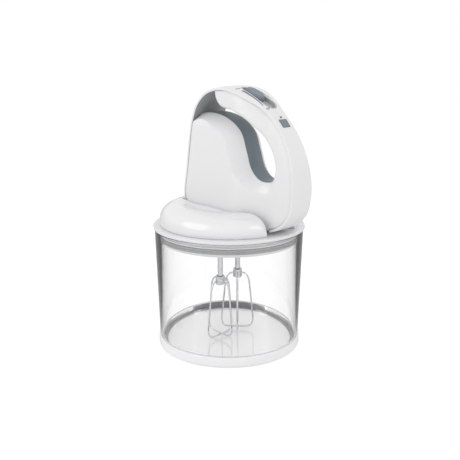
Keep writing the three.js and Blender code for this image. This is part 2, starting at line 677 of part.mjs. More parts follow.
function sideShell(sign) {
  const inset = HOOP_WALL + GAP;
  const parting = GAP / 2;
  const block = sideBlock(sign, inset, 0, parting, [1, 0.98, 0.945, 0.89, 0.8, 0.65, 0.45]);
  const space = cut(
    sideBlock(sign, inset + SHELL_WALL, SHELL_WALL, -2, [1, 0.93, 0.83, 0.55], 2),
    openingCutter(SHELL_WALL + STRIP_THICKNESS, [1, 0.5, 0], 2),
  );
  const bosses = SCREW_PLACES.map(([x, z]) => {
    const reach = sideHalfAt(x, z) - 1;
    return alongY(cylinder(BOSS_RADIUS, parting, reach, 10))
      .scale(1, sign, 1).translate(x, 0, z);
  });
  // the right shell takes each screw's head and shank, the left shell its tip
  const screwHoles = SCREW_PLACES.map(([x, z]) => {
    const out = HOOP_FRONT_HALF + POD_BULGE;
    const shank = cylinder(SCREW_RADIUS + GAP, sign > 0 ? 0 : -SCREW_REACH - 2, sign > 0 ? out : parting, 10);
    const head = cylinder(SCREW_HEAD + GAP, sideHalfAt(x, z) - SCREW_HEAD_DEPTH, out);
    return alongY(sign > 0 ? join(shank, head) : shank).translate(x, 0, z);
  });
  const trayRoom = prism(stadium(SLOT_LENGTH + 2 * GAP, SLOT_WIDTH + 2 * GAP), TRAY_BOTTOM - GAP, 20)
    .applyMatrix4(slotMatrix);
  const boardRoom = prism(roundedRectangle(BOARD_LENGTH + 2 * GAP, BOARD_WIDTH + 2 * GAP, GAP / 3, 1),
    BOARD_TOP - BOARD_THICKNESS - GAP, TRAY_BOTTOM).applyMatrix4(slotMatrix);
  const buttonRoom = prism(roundedRectangle(BUTTON_SIZE + 4.6, BUTTON_SIZE + 4.6, 1), -12, 8)
    .applyMatrix4(buttonMatrix);
  const ledRoom = cylinder(LED_RADIUS + GAP, -8, 8, 12).applyMatrix4(ledMatrix);
  const spindles = [-1, 1].map((side) =>
    cylinder(SPINDLE_RADIUS + 1.2, -10, 8).translate(0, side * HALF_PITCH, 0));
  const jackRoom = cylinder(JACK_RADIUS + GAP, -1, JACK_DEPTH).translate(JACK_X, 0, 0);
  const shell = join(cut(block, space), ...bosses.map((boss) => common(boss, block)));
  return cut(shell, openingCutter(0), loft(stripRings(0, GAP)), ...screwHoles, trayRoom, boardRoom,
    buttonRoom, ledRoom, ...spindles, jackRoom);
}

function undersidePlate() {
  const half = HOOP_FRONT_HALF - RIM_RECESS - RIM_EDGE;
  const front = FLAT_FROM + 1;
  const rear = FLAT_TO - 2.5;
  const rearHalf = bandHalf(rear, 0) - RIM_RECESS - RIM_EDGE;
  const outline = [[front, -half], [TAPER_START, -half], [rear, -rearHalf], [rear, rearHalf],
    [TAPER_START, half], [front, half]];
  const holes = [-1, 1].map((side) =>
    cylinder(SPINDLE_RADIUS + 1.2, -1, 5).translate(0, side * HALF_PITCH, 0));
  return cut(prism(outline, 0, HOOP_WALL), ...holes,
    cylinder(JACK_RADIUS + GAP, -1, 5).translate(JACK_X, 0, 0));
}

function chargeJack() {
  const body = cylinder(JACK_RADIUS, 0.2, JACK_DEPTH);
  return join(cut(body, cylinder(2.7, -1, 7.5)), cylinder(0.9, 2, 8));
}

function housingScrew([x, z]) {
  const headBottom = sideHalfAt(x, z) - SCREW_HEAD_DEPTH + GAP;
  return alongY(revolve([
    [0, -SCREW_REACH], [SCREW_RADIUS, -SCREW_REACH], [SCREW_RADIUS, headBottom], [SCREW_HEAD, headBottom],
    [SCREW_HEAD, headBottom + 1.8], [0, headBottom + 1.8],
  ], 10)).translate(x, 0, z);
}

// ---------------------------------------------------------------- controls

function slotTray() {
  const block = prism(stadium(SLOT_LENGTH, SLOT_WIDTH), TRAY_BOTTOM, SLOT_DEPTH);
  const inner = prism(stadium(SLOT_LENGTH - 2 * SLOT_WALL, SLOT_WIDTH - 2 * SLOT_WALL), -SLOT_DEPTH, 20);
  const slit = prism(
    roundedRectangle(KNOB_TRAVEL + STEM_LENGTH + 1.2, STEM_WIDTH + 2 * GAP, 1, 2), -20, 5,
  ).translate(KNOB_OFFSET + KNOB_TRAVEL / 2, 0, 0);
  return common(cut(block, inner, slit).applyMatrix4(slotMatrix), underBand(TRAY_RECESS));
}

function speedKnob() {
  const bottom = -SLOT_DEPTH + GAP;
  const levels = [[bottom, 1], [-KNOB_EDGE, 1], [mix(-KNOB_EDGE, KNOB_RISE, 0.5), 0.97],
    [mix(-KNOB_EDGE, KNOB_RISE, 0.85), 0.88], [KNOB_RISE, 0.7]];
  const rings = levels.map(([z, share]) =>
    stadium(KNOB_LENGTH * (0.35 + 0.65 * share), KNOB_WIDTH * share).map(([x, y]) => [x, y, z]));
  return loft(rings).translate(KNOB_OFFSET, 0, 0).applyMatrix4(slotMatrix);
}

function speedCarriage() {
  const top = TRAY_BOTTOM - GAP;
  const stemBottom = top - CARRIAGE_THICKNESS / 2;
  const stem = box(STEM_LENGTH, STEM_WIDTH, -SLOT_DEPTH - stemBottom, 0, 0, (stemBottom - SLOT_DEPTH) / 2);
  const block = box(11, 9, CARRIAGE_THICKNESS, 0, 0, top - CARRIAGE_THICKNESS / 2);
  return join(block, stem).translate(KNOB_OFFSET, 0, 0).applyMatrix4(slotMatrix);
}

function speedBoard() {
  return box(BOARD_LENGTH, BOARD_WIDTH, BOARD_THICKNESS, 0, 0, BOARD_TOP - BOARD_THICKNESS / 2)
    .applyMatrix4(slotMatrix);
}

function powerButton() {
  const cap = prism(roundedRectangle(BUTTON_SIZE, BUTTON_SIZE, 1), -HOOP_WALL - GAP - 1, BUTTON_RISE + 0.7);
  const flange = box(BUTTON_SIZE + 1.8, BUTTON_SIZE + 1.8, 1.2, 0, 0, -HOOP_WALL - GAP - 0.6);
  return join(cap, flange).applyMatrix4(buttonMatrix);
}

const SWITCH_TOP = -HOOP_WALL - GAP - 1.2 - BUTTON_TRAVEL - GAP;

// key switch on its small board, which reaches across the handle to both side walls
function buttonSwitch() {
  const reach = 2 * (HOOP_WAIST_HALF - RIM_RECESS - SHELL_WALL - 2.6 * GAP);
  const key = box(6.2, 6.2, 2.6, 0, 0, SWITCH_TOP - 1.3);
  const board = box(10, reach, 1.2, 0, 0, SWITCH_TOP - 3.1);
  return join(key, board).applyMatrix4(buttonMatrix);
}

function ledLens() {
  return cylinder(LED_RADIUS, -4, 1.0, 12).applyMatrix4(ledMatrix);
}

// ---------------------------------------------------------------- drive

const LEAD_ANGLE = Math.atan((WORM_STARTS * TOOTH_PITCH) / (2 * Math.PI * WORM_RADIUS));

// outline of the toothed rim at one height, turned by an angle
function toothRing(turn, z) {
  const tip = WHEEL_RADIUS + TOOTH_TIP;
  const root = WHEEL_RADIUS - TOOTH_ROOT;
  const step = (2 * Math.PI) / WHEEL_TEETH;
  const ring = [];
  for (let i = 0; i < WHEEL_TEETH; i += 1) {
    // a gap is centred on angle zero, so each tooth is centred half a step on
    const middle = turn + (i + 0.5) * step;
    const solid = 1 - TOOTH_BACKLASH;
    [[-0.34, root], [-0.13, tip], [0.13, tip], [0.34, root]].forEach(([share, radius]) => {
      const angle = middle + share * solid * step;
      ring.push([radius * Math.cos(angle), radius * Math.sin(angle), z]);
    });
  }
  return ring;
}

function wormWheel(side) {
  const lean = (Math.tan(LEAD_ANGLE) * WHEEL_WIDTH) / 2 / WHEEL_RADIUS;
  const facing = (-side * Math.PI) / 2;
  const low = DRIVE_HEIGHT - WHEEL_WIDTH / 2;
  const high = DRIVE_HEIGHT + WHEEL_WIDTH / 2;
  const rim = loft([toothRing(facing - lean, low), toothRing(facing + lean, high)]);
  return cut(rim, cylinder(SPINDLE_RADIUS + GAP, 0, 60)).translate(0, side * HALF_PITCH, 0);
}

function worm() {
  const sides = 14;
  const stations = 30;
  const tip = WORM_RADIUS + TOOTH_TIP;
  const root = WORM_RADIUS - TOOTH_ROOT;
  const rings = [];
  for (let s = 0; s <= stations; s += 1) {
    const x = (s / stations - 0.5) * WORM_LENGTH;
    const ring = [];
    for (let i = 0; i < sides; i += 1) {
      const angle = (i / sides) * 2 * Math.PI;
      const phase = x / TOOTH_PITCH - (WORM_STARTS * angle) / (2 * Math.PI);
      const fromCrest = Math.abs(phase - Math.round(phase));
      const height = 1 - smooth((fromCrest - 0.09) / 0.2);
      const radius = mix(root, tip, height);
      ring.push([x, radius * Math.cos(angle), radius * Math.sin(angle)]);
    }
    rings.push(ring);
  }
  const bore = alongX(cylinder(MOTOR_SHAFT_RADIUS + GAP, -WORM_LENGTH, WORM_LENGTH, 12));
  return cut(loft(rings), bore).translate(0, 0, DRIVE_HEIGHT);
}

const SPINDLE_BOTTOM = 1.4;
const SPINDLE_TOP = DRIVE_HEIGHT + 13.5;
const LOWER_PLATE = [8.5, 14];
const UPPER_PLATE = [DRIVE_HEIGHT + 8, DRIVE_HEIGHT + 12.5];

function spindle(side) {
  return revolve([
    [0, SPINDLE_TOP], [SPINDLE_RADIUS, SPINDLE_TOP], [SPINDLE_RADIUS, SPINDLE_BOTTOM],
    [SHAFT_RADIUS + GAP, SPINDLE_BOTTOM], [SHAFT_RADIUS + GAP, SHAFT_REACH + GAP],
    [0, SHAFT_REACH + GAP],
  ]).translate(0, side * HALF_PITCH, 0);
}

const BUSH_WALL = 1.3;
const PLATE_HALF = 22.8;
const PLATE_LENGTH = 37;
const PLATE_X = -0.5;
const POST_PLACES = [[-16, -18.8], [14.8, -18.8], [-16, 18.8], [14.8, 18.8]];
const GEARBOX_SCREW_PLACES = [POST_PLACES[0], POST_PLACES[3]];
const POST_RADIUS = 2.2;

function spindleBush([bottom, top], side) {
  return tube(SPINDLE_RADIUS + GAP + BUSH_WALL, SPINDLE_RADIUS + GAP, bottom, top)
    .translate(0, side * HALF_PITCH, 0);
}

const bushHoles = () => [-1, 1].map((side) =>
  cylinder(SPINDLE_RADIUS + 2 * GAP + BUSH_WALL, -5, 60).translate(0, side * HALF_PITCH, 0));

function gearboxFrame() {
  const [low, high] = LOWER_PLATE;
  const plate = box(PLATE_LENGTH, 2 * PLATE_HALF, high - low, PLATE_X, 0, (low + high) / 2);
  const posts = POST_PLACES.map(([x, y]) =>
    cylinder(POST_RADIUS, HOOP_WALL + GAP + SHELL_WALL + GAP, UPPER_PLATE[0] - GAP, 12).translate(x, y, 0));
  const nose = box(4.5, 12, DRIVE_HEIGHT + 6 - high, -16.5, 0, (DRIVE_HEIGHT + 6 + high) / 2 - 0.1);
  const noseHole = alongX(cylinder(MOTOR_SHAFT_RADIUS + 2 * GAP + 1.6, -30, -10, 14))
    .translate(0, 0, DRIVE_HEIGHT);
  return cut(join(plate, ...posts, nose), ...bushHoles(), noseHole);
}

function gearboxCover() {
  const [low, high] = UPPER_PLATE;
  const plate = box(PLATE_LENGTH, 2 * PLATE_HALF, high - low, PLATE_X, 0, (low + high) / 2);
  const holes = GEARBOX_SCREW_PLACES.map(([x, y]) =>
    cylinder(1.2 + GAP, low - 1, high + 1, 10).translate(x, y, 0));
  return cut(plate, ...bushHoles(), ...holes);
}

function gearboxScrew([x, y]) {
  const top = UPPER_PLATE[1] + GAP;
  return revolve([
    [0, UPPER_PLATE[0]], [1.2, UPPER_PLATE[0]], [1.2, top], [2.3, top], [2.3, top + 1.4], [0, top + 1.4],
  ], 10).translate(x, y, 0);
}

const MOTOR_REAR = MOTOR_FRONT + MOTOR_LENGTH;
const CAP_THICKNESS = 3.2;
const turned = (profile, sides = 24) =>
  alongX(revolve(profile, sides)).translate(0, 0, DRIVE_HEIGHT);

function motorCan() {
  const inner = MOTOR_RADIUS - MOTOR_WALL;
  const bearing = MOTOR_SHAFT_RADIUS + 2 * GAP + 1.7;
  return turned([
    [bearing, MOTOR_FRONT], [MOTOR_RADIUS, MOTOR_FRONT], [MOTOR_RADIUS, MOTOR_REAR - CAP_THICKNESS - GAP],
    [inner, MOTOR_REAR - CAP_THICKNESS - GAP], [inner, MOTOR_FRONT + 2], [bearing, MOTOR_FRONT + 2],
  ]);
}

function motorCap() {
  const bearing = MOTOR_SHAFT_RADIUS + 2 * GAP + 1.7;
  const plate = turned([
    [bearing, MOTOR_REAR - CAP_THICKNESS], [MOTOR_RADIUS, MOTOR_REAR - CAP_THICKNESS],
    [MOTOR_RADIUS, MOTOR_REAR], [bearing, MOTOR_REAR],
  ]);
  const holders = [-1, 1].map((side) =>
    box(7, 4.6, 6, MOTOR_REAR - CAP_THICKNESS - 3, side * (COMMUTATOR_RADIUS + 2 * GAP + 1.5 + 2.3),
      DRIVE_HEIGHT));
  return join(plate, ...holders);
}

const COMMUTATOR_RADIUS = 4.4;

function motorBrush(side) {
  return box(4, 1.5, 4, MOTOR_REAR - CAP_THICKNESS - 4, side * (COMMUTATOR_RADIUS + GAP + 0.75), DRIVE_HEIGHT);
}

const BEARING_WALL = 1.7;

function shaftBearing(from, to) {
  const inner = MOTOR_SHAFT_RADIUS + GAP;
  return turned([
    [inner, from], [inner + BEARING_WALL, from], [inner + BEARING_WALL, to], [inner, to],
  ], 14);
}

const MAGNET_THICKNESS = 1.9;
const MAGNET_LENGTH = 20;
const ROTOR_RADIUS = MOTOR_RADIUS - MOTOR_WALL - MAGNET_THICKNESS - 2 * GAP - 0.3;

function motorMagnet() {
  const outer = MOTOR_RADIUS - MOTOR_WALL - GAP;
  const inner = outer - MAGNET_THICKNESS;
  const from = MOTOR_FRONT + 4;
  const to = from + MAGNET_LENGTH;
  return turned([[inner, from], [outer, from], [outer, to], [inner, to]]);
}

// laminated core with five wound poles
function rotorCore() {
  const points = [];
  const poles = 5;
  for (let i = 0; i < poles; i += 1) {
    const middle = (i / poles) * 2 * Math.PI;
    [[-0.55, ROTOR_RADIUS], [-0.28, ROTOR_RADIUS], [0, ROTOR_RADIUS], [0.28, ROTOR_RADIUS],
      [0.55, ROTOR_RADIUS], [0.5, ROTOR_RADIUS - 1.6], [0.3, 4]].forEach(([angle, radius]) => {
      points.push([radius * Math.cos(middle + angle), radius * Math.sin(middle + angle)]);
    });
    const end = middle + (2 * Math.PI) / poles;
    points.push([4 * Math.cos(end - 0.3), 4 * Math.sin(end - 0.3)]);
    points.push([(ROTOR_RADIUS - 1.6) * Math.cos(end - 0.5), (ROTOR_RADIUS - 1.6) * Math.sin(end - 0.5)]);
  }
  const core = prism(points, MOTOR_FRONT + 5, MOTOR_FRONT + 23);
  return alongX(cut(core, cylinder(MOTOR_SHAFT_RADIUS + GAP, 0, 90, 12))).translate(0, 0, DRIVE_HEIGHT);
}

function commutator() {
  const inner = MOTOR_SHAFT_RADIUS + GAP;
  const front = MOTOR_FRONT + 25;
  const rear = MOTOR_REAR - CAP_THICKNESS - 1;
  return turned([
    [inner, front], [COMMUTATOR_RADIUS, front], [COMMUTATOR_RADIUS, rear], [inner, rear],
  ], 16);
}

function motorShaft() {
  return alongX(cylinder(MOTOR_SHAFT_RADIUS, -18, MOTOR_REAR + 1.4, 12)).translate(0, 0, DRIVE_HEIGHT);
}

// ---------------------------------------------------------------- battery

const CELL_X = -10;
const CELL_SPACING = 2 * CELL_RADIUS + 1.2;
const HOLDER_FLOOR = 2.6;
const CELL_BOTTOM = UPPER_PLATE[1] + GAP + 1.4 + GAP + HOLDER_FLOOR + GAP;

function batteryCell(side) {
  const top = CELL_BOTTOM + CELL_LENGTH;
  return revolve([
    [0, CELL_BOTTOM], [CELL_RADIUS - 0.6, CELL_BOTTOM], [CELL_RADIUS, CELL_BOTTOM + 0.6],
    [CELL_RADIUS, top - 1.6], [2.8, top - 1.2], [2.8, top], [0, top],
  ], 16).translate(CELL_X, (side * CELL_SPACING) / 2, 0);
}

function batteryHolder() {
  const width = 2 * CELL_RADIUS + 4;
  const floor = CELL_BOTTOM - GAP - HOLDER_FLOOR;
  const tray = prism(roundedRectangle(width, CELL_SPACING + width, 4, 2), floor, CELL_BOTTOM + 12);
  const top = CELL_BOTTOM + CELL_LENGTH;
  const rooms = [-1, 1].map((side) =>
    cylinder(CELL_RADIUS + GAP, CELL_BOTTOM - GAP, top, 16).translate(0, (side * CELL_SPACING) / 2, 0));
  return cut(tray, ...rooms).translate(CELL_X, 0, 0);
}

// ---------------------------------------------------------------- beaters

function beaterShaft(side) {
  const bottom = COLLAR_TOP - COLLAR_HEIGHT - MIXER_SEAT + 2;
  return revolve([
    [0, bottom], [SHAFT_RADIUS, bottom], [SHAFT_RADIUS, SHAFT_REACH - 1.5],
    [SHAFT_RADIUS - 1, SHAFT_REACH], [0, SHAFT_REACH],
  ], 16).translate(0, side * HALF_PITCH, 0);
}

function beaterCollar(side) {
  const top = COLLAR_TOP - MIXER_SEAT;
  const bottom = top - COLLAR_HEIGHT;
  const hole = SHAFT_RADIUS + GAP;
  return revolve([
    [0, bottom], [COLLAR_RADIUS - 1.6, bottom], [COLLAR_RADIUS, bottom + 1.4], [COLLAR_RADIUS, top],
    [COLLAR_RADIUS - 1, top], [COLLAR_RADIUS - 1.2, top - 2.6], [hole, top - 2.6],
    [hole, bottom + 2 - GAP], [0, bottom + 2 - GAP],
  ], 16).translate(0, side * HALF_PITCH, 0);
}

// one wire bent into a loop, from one side of the collar round to the other
function wireLoop(angle, lift) {
  const start = COLLAR_RADIUS + GAP;
  const neck = COLLAR_TOP - 5 + lift;
  const bottom = LOOP_BOTTOM + lift;
  const half = [
    [start, neck], [start + 2.6, neck - 0.2], [LOOP_TOP_HALF - 3, neck - 2.6],
    [LOOP_TOP_HALF - 0.5, neck - 8], [LOOP_TOP_HALF + 0.8, neck - 17],
    [LOOP_BOTTOM_HALF - 0.8, bottom + 16], [LOOP_BOTTOM_HALF, bottom + 8],
    [LOOP_BOTTOM_HALF - 1.9, bottom + 2.6], [LOOP_BOTTOM_HALF - 7, bottom + 0.2],
  ];
  const other = half.map(([r, z]) => [-r, z]).reverse();
  const path = [...half, [0, bottom], ...other]
    .map(([r, z]) => new THREE.Vector3(r, 0, z - MIXER_SEAT));
  const section = new THREE.Shape(Array.from({ length: 6 }, (_, i) => {
    const turn = (i / 6) * 2 * Math.PI;
    return new THREE.Vector2(WIRE_RADIUS * Math.cos(turn), WIRE_RADIUS * Math.sin(turn));
  }));
  const bent = new THREE.ExtrudeGeometry(section, {
    steps: 34, bevelEnabled: false, extrudePath: new THREE.CatmullRomCurve3(path, false, 'centripetal'),
  });
  return closed(bent).rotateZ(angle);
}

// the two loops are welded where they cross under the shaft
function beaterWires(side, turn) {
  const crossing = 1.7 * WIRE_RADIUS;
  return join(wireLoop(turn, 0), wireLoop(turn + Math.PI / 2, crossing)).translate(0, side * HALF_PITCH, 0);
}

// ---------------------------------------------------------------- assembly

const finish = (color, roughness, metalness = 0, extra = {}) => () =>
  new THREE.MeshStandardMaterial({ color, roughness, metalness, ...extra });
const white = finish(0xededee, 0.3);
const glossy = finish(0xf4f4f4, 0.12);
const slate = finish(0x6d7a82, 0.45);
const paleGrey = finish(0xc9cbcc, 0.4);
const clear = finish(0xf0f4f5, 0.05, 0, { transparent: true, opacity: 0.3 });
const chrome = finish(0xd9dcde, 0.1, 1);
const steel = finish(0xa7abae, 0.4, 1);
const brass = finish(0xc5a25a, 0.35, 1);
const rubber = finish(0x9fa4a6, 0.8);
const black = finish(0x2a2c2e, 0.6);
const green = finish(0x2f6b45, 0.6);
const nylon = finish(0xd8d3c4, 0.55);
const copper = finish(0xb06a3c, 0.4, 1);

const names = new Set();
function piece(name, geometry, material) {
  if (names.has(name)) throw new Error(`two pieces are called ${name}`);
  names.add(name);
  const mesh = new THREE.Mesh(closed(geometry), material());
  mesh.name = name;
  return mesh;
}

const bowlGroup = new THREE.Group();
bowlGroup.add(
  piece('base_tray', baseTray(), white),
  piece('foot_pad', footPad(), rubber),
  piece('bowl', bowl(), clear),
);

const lidGroup = new THREE.Group();
lidGroup.add(
  piece('lid', lid(), white),
  piece('lid_seal', lidSeal(), paleGrey),
  piece('lid_dome', dome(), glossy),
);

const mixer = new THREE.Group();
mixer.position.z = MIXER_SEAT;
mixer.add(
  piece('outer_band', outerBand(), white),
  piece('housing_left', sideShell(-1), white),
  piece('housing_right', sideShell(1), white),
  piece('underside_plate', undersidePlate(), white),
  piece('grip_strip', gripStrip(), slate),
  ...SCREW_PLACES.map((place, i) => piece(`housing_screw_${i + 1}`, housingScrew(place), steel)),
  piece('slot_tray', slotTray(), paleGrey),
  piece('speed_knob', speedKnob(), slate),
  piece('speed_carriage', speedCarriage(), black),
  piece('speed_board', speedBoard(), green),
  piece('power_button', powerButton(), slate),
  piece('button_switch', buttonSwitch(), black),
  piece('led_lens', ledLens(), black),
  piece('charge_jack', chargeJack().translate(JACK_X, 0, 0), black),
  piece('battery_holder', batteryHolder(), black),
  piece('gearbox_frame', gearboxFrame(), nylon),
  piece('gearbox_cover', gearboxCover(), nylon),
  ...GEARBOX_SCREW_PLACES.map((place, i) => piece(`gearbox_screw_${i + 1}`, gearboxScrew(place), steel)),
  piece('nose_bearing', shaftBearing(-18.6, -14.2), brass),
  piece('motor_can', motorCan(), steel),
  piece('motor_cap', motorCap(), black),
  piece('motor_magnet', motorMagnet(), black),
  piece('front_bearing', shaftBearing(MOTOR_FRONT - 0.6, MOTOR_FRONT + 2.4), brass),
  piece('rear_bearing', shaftBearing(MOTOR_REAR - CAP_THICKNESS, MOTOR_REAR + 0.4), brass),
  piece('motor_shaft', motorShaft(), steel),
  piece('rotor_core', rotorCore(), copper),
  piece('commutator', commutator(), brass),
  piece('worm', worm(), steel),
);
[['left', -1, Math.PI / 4 + 0.733], ['right', 1, 0.733]].forEach(([name, side, turn]) => {
  mixer.add(
    piece(`battery_cell_${name}`, batteryCell(side), green),
    piece(`motor_brush_${name}`, motorBrush(side), black),
    piece(`lower_bush_${name}`, spindleBush(LOWER_PLATE, side), brass),
    piece(`upper_bush_${name}`, spindleBush(UPPER_PLATE, side), brass),
    piece(`worm_wheel_${name}`, wormWheel(side), nylon),
    piece(`spindle_${name}`, spindle(side), steel),
    piece(`beater_shaft_${name}`, beaterShaft(side), chrome),
    piece(`beater_collar_${name}`, beaterCollar(side), chrome),
    piece(`beater_wires_${name}`, beaterWires(side, turn), chrome),
  );
});

const handMixer = new THREE.Group();
handMixer.add(bowlGroup, lidGroup, mixer);

export default handMixer;
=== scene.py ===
"""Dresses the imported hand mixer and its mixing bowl: smooth mouldings, clear bowl, chrome beaters.

Run as a script in Blender. Each piece is built by its own operator, in metres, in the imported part's frame.
"""

import json
import math
from bisect import bisect_right

import bmesh
import bpy
from bpy.props import FloatProperty, FloatVectorProperty, IntProperty, PointerProperty
from mathutils import Matrix, Vector


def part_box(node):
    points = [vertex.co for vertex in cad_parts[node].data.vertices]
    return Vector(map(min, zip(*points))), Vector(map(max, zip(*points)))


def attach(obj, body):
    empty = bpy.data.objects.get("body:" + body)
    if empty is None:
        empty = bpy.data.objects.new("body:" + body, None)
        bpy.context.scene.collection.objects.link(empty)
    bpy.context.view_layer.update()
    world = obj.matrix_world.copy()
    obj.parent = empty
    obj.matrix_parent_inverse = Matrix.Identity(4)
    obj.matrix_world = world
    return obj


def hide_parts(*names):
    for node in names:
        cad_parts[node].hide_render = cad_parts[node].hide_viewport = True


bl_info = {
    "name": "Hand mixer on its bowl",
    "version": (1, 0, 0),
    "blender": (4, 5, 0),
    "location": "View3D > Sidebar > Mixer",
    "description": "Builds the outer pieces of a hand mixer docked on a clear mixing bowl",
    "category": "Add Mesh",
}

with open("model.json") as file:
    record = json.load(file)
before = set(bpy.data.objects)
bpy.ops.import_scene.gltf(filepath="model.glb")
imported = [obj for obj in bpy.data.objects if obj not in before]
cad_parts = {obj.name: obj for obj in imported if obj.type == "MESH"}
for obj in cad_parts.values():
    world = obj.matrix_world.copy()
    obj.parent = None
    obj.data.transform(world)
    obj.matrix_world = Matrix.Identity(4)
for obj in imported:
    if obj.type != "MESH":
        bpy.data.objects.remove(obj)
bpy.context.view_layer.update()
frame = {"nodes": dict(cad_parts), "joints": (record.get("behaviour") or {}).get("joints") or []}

MM = 0.001
GAP = 0.3 * MM  # clearance between neighbouring pieces
SEAM = 0.12 * MM  # seam between the band and the side shells


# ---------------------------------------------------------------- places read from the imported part

def extent(node, direction):
    """Lowest and highest reach of a CAD node along a direction."""
    reach = [vertex.co.dot(direction) for vertex in frame["nodes"][node].data.vertices]
    return min(reach), max(reach)


def joint_axis(name):
    return Vector(next(joint["axis"] for joint in frame["joints"] if joint["name"] == name)).normalized()


ACROSS = Vector((0, 1, 0))
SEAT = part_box("underside_plate")[0].z
DOME_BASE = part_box("lid_dome")[0].z
SLOT_ALONG = joint_axis("speed_slide")
SLOT_OUT = SLOT_ALONG.cross(ACROSS)
PRESS_IN = joint_axis("power_press")
BUTTON_ALONG = ACROSS.cross(-PRESS_IN)
BEATER_Y = {side: next(j["pos_m"][1] for j in frame["joints"] if j["name"] == f"beater_{side}_spin")
            for side in ("left", "right")}


# ---------------------------------------------------------------- small maths

def clamp(value, low=0.0, high=1.0):
    return max(low, min(high, value))


def smooth(share):
    share = clamp(share)
    return share * share * (3 - 2 * share)


def mix(a, b, share):
    return a + (b - a) * share


def linear(hex_colour, alpha=1.0):
    """A six-digit sRGB colour as linear red, green, blue and alpha."""
    values = [int(hex_colour[i:i + 2], 16) / 255 for i in (1, 3, 5)]
    return tuple(v / 12.92 if v <= 0.04045 else ((v + 0.055) / 1.055) ** 2.4 for v in values) + (alpha,)


class Spline:
    """A centripetal Catmull-Rom curve through points of the X-Z plane, given in millimetres."""

    def __init__(self, pairs, closed=False):
        self.points = [Vector((x, z)) * MM for x, z in pairs]
        self.closed = closed
        self.spans = len(pairs) if closed else len(pairs) - 1

    def knot(self, i):
        count = len(self.points)
        if self.closed:
            return self.points[i % count]
        if i < 0:
            return self.points[0] * 2 - self.points[1]
        if i >= count:
            return self.points[-1] * 2 - self.points[-2]
        return self.points[i]

    def at(self, position):
        """The point at a position counted in spans from the first control point."""
        i = int(clamp(math.floor(position), 0, self.spans - 1))
        t = position - i
        p0, p1, p2, p3 = (self.knot(i + k) for k in (-1, 0, 1, 2))
        d0, d1, d2 = (max((b - a).length, 1e-9) ** 0.5 for a, b in ((p0, p1), (p1, p2), (p2, p3)))
        t1 = ((p1 - p0) / d0 - (p2 - p0) / (d0 + d1) + (p2 - p1) / d1) * d1
        t2 = ((p2 - p1) / d1 - (p3 - p1) / (d1 + d2) + (p3 - p2) / d2) * d1
        return (p1 + t1 * t + (p2 * 3 - p1 * 3 - t1 * 2 - t2) * t ** 2
                + (p1 * 2 - p2 * 2 + t1 + t2) * t ** 3)


class Track:
    """A row of points that can be read by the distance along it."""

    def __init__(self, points):
        self.points = points
        self.reach = [0.0]
        for a, b in zip(points, points[1:]):
            self.reach.append(self.reach[-1] + (b - a).length)
        self.length = self.reach[-1]

    def at(self, distance):
        i = int(clamp(bisect_right(self.reach, distance) - 1, 0, len(self.points) - 2))
        share = (distance - self.reach[i]) / (self.reach[i + 1] - self.reach[i])
        return self.points[i].lerp(self.points[i + 1], share)

    def nearest(self, point):
        return self.reach[min(range(len(self.points)), key=lambda i: (self.points[i] - point).length)]


def softened(corners, steps=5):
    """Rounds a profile: each corner is (radius, height, rounding), an arc where rounding is set."""
    out = []
    count = len(corners)
    for i, (r, z, rounding) in enumerate(corners):
        here = Vector((r, z))
        if not rounding:
            out.append(here)
            continue
        before = (Vector(corners[i - 1][:2]) - here).normalized()
        after = (Vector(corners[(i + 1) % count][:2]) - here).normalized()
        half = before.angle(after) / 2
        back = rounding / math.tan(half)
        centre = here + (before + after).normalized() * (rounding / math.sin(half))
        start, end = here + before * back - centre, here + after * back - centre
        turn = start.angle_signed(end)
        for k in range(steps + 1):
            out.append(centre + Matrix.Rotation(-turn * k / steps, 2) @ start)
    return out


# ---------------------------------------------------------------- mixer outlines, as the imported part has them

NOSE = 46.0  # how far the nose lies before the bowl's axis, in millimetres
BODY_LENGTH = 146.8
BODY_HEIGHT = 149.6


def on_side(pairs):
    """Places of the mixer's side view, given in hundredths of its length and its height."""
    return [(BODY_LENGTH * along / 100 - NOSE, BODY_HEIGHT * up / 100) for along, up in pairs]


# side view of the body from the nose's foot over the top to the heel
BODY_SIDE = on_side([
    (8.2, 0), (3.1, 6), (0.5, 14.7), (0, 24.1), (2.7, 41.4), (5.9, 62.8), (8.6, 75.9), (14, 88.2),
    (23.8, 96.9), (37.5, 100), (49.7, 98.2), (58.6, 94.8), (68.9, 89.2), (80.1, 79.7), (88.5, 69.5),
    (94.8, 57.2), (98.7, 43.4), (99.8, 30.1), (96.5, 14.2), (87.9, 5.5), (73.6, 0),
])
# finger opening: its edge at the middle of the body and on the body's side
OPENING_MIDDLE = on_side([
    (-10.9, 74.9), (10.2, 80.6), (22.5, 81.8), (38.1, 78.1), (50.1, 69.5), (55.4, 56.5), (60.3, 43.7),
    (68.5, 37), (79, 37.4), (82.6, 44.5), (80.4, 55.1), (72.5, 67), (64, 73.8), (56.5, 79.1),
    (45.9, 84.4), (36.1, 86.4), (31.6, 90.8), (28.6, 100.3), (25.2, 111), (-10.9, 111),
])
OPENING_SIDE = on_side([
    (-10.9, 64.2), (10.2, 74.5), (21.1, 77.7), (33.4, 72.5), (43.6, 64.8), (47.5, 53.8), (53.1, 40.4),
    (65.4, 30.5), (81.1, 30.9), (85.1, 44.1), (82.6, 56.5), (74.9, 68.5), (66.8, 75.8), (59.2, 81.9),
    (47.9, 86.9), (38.5, 89.1), (34.5, 93.4), (32.3, 100.3), (28.6, 111), (-10.9, 111),
])
FINE = 24  # curve samples between two control points
INK = 0.15 * MM  # how far the print stands above the band
STRIP_FROM, STRIP_TO = 1.5, 8  # the grip strip runs between these points of the opening's middle edge
HUMP = [(x * MM, share) for x, share in ((-8, 0), (14, 1), (52, 1), (76, 0))]  # the pad's rise along x
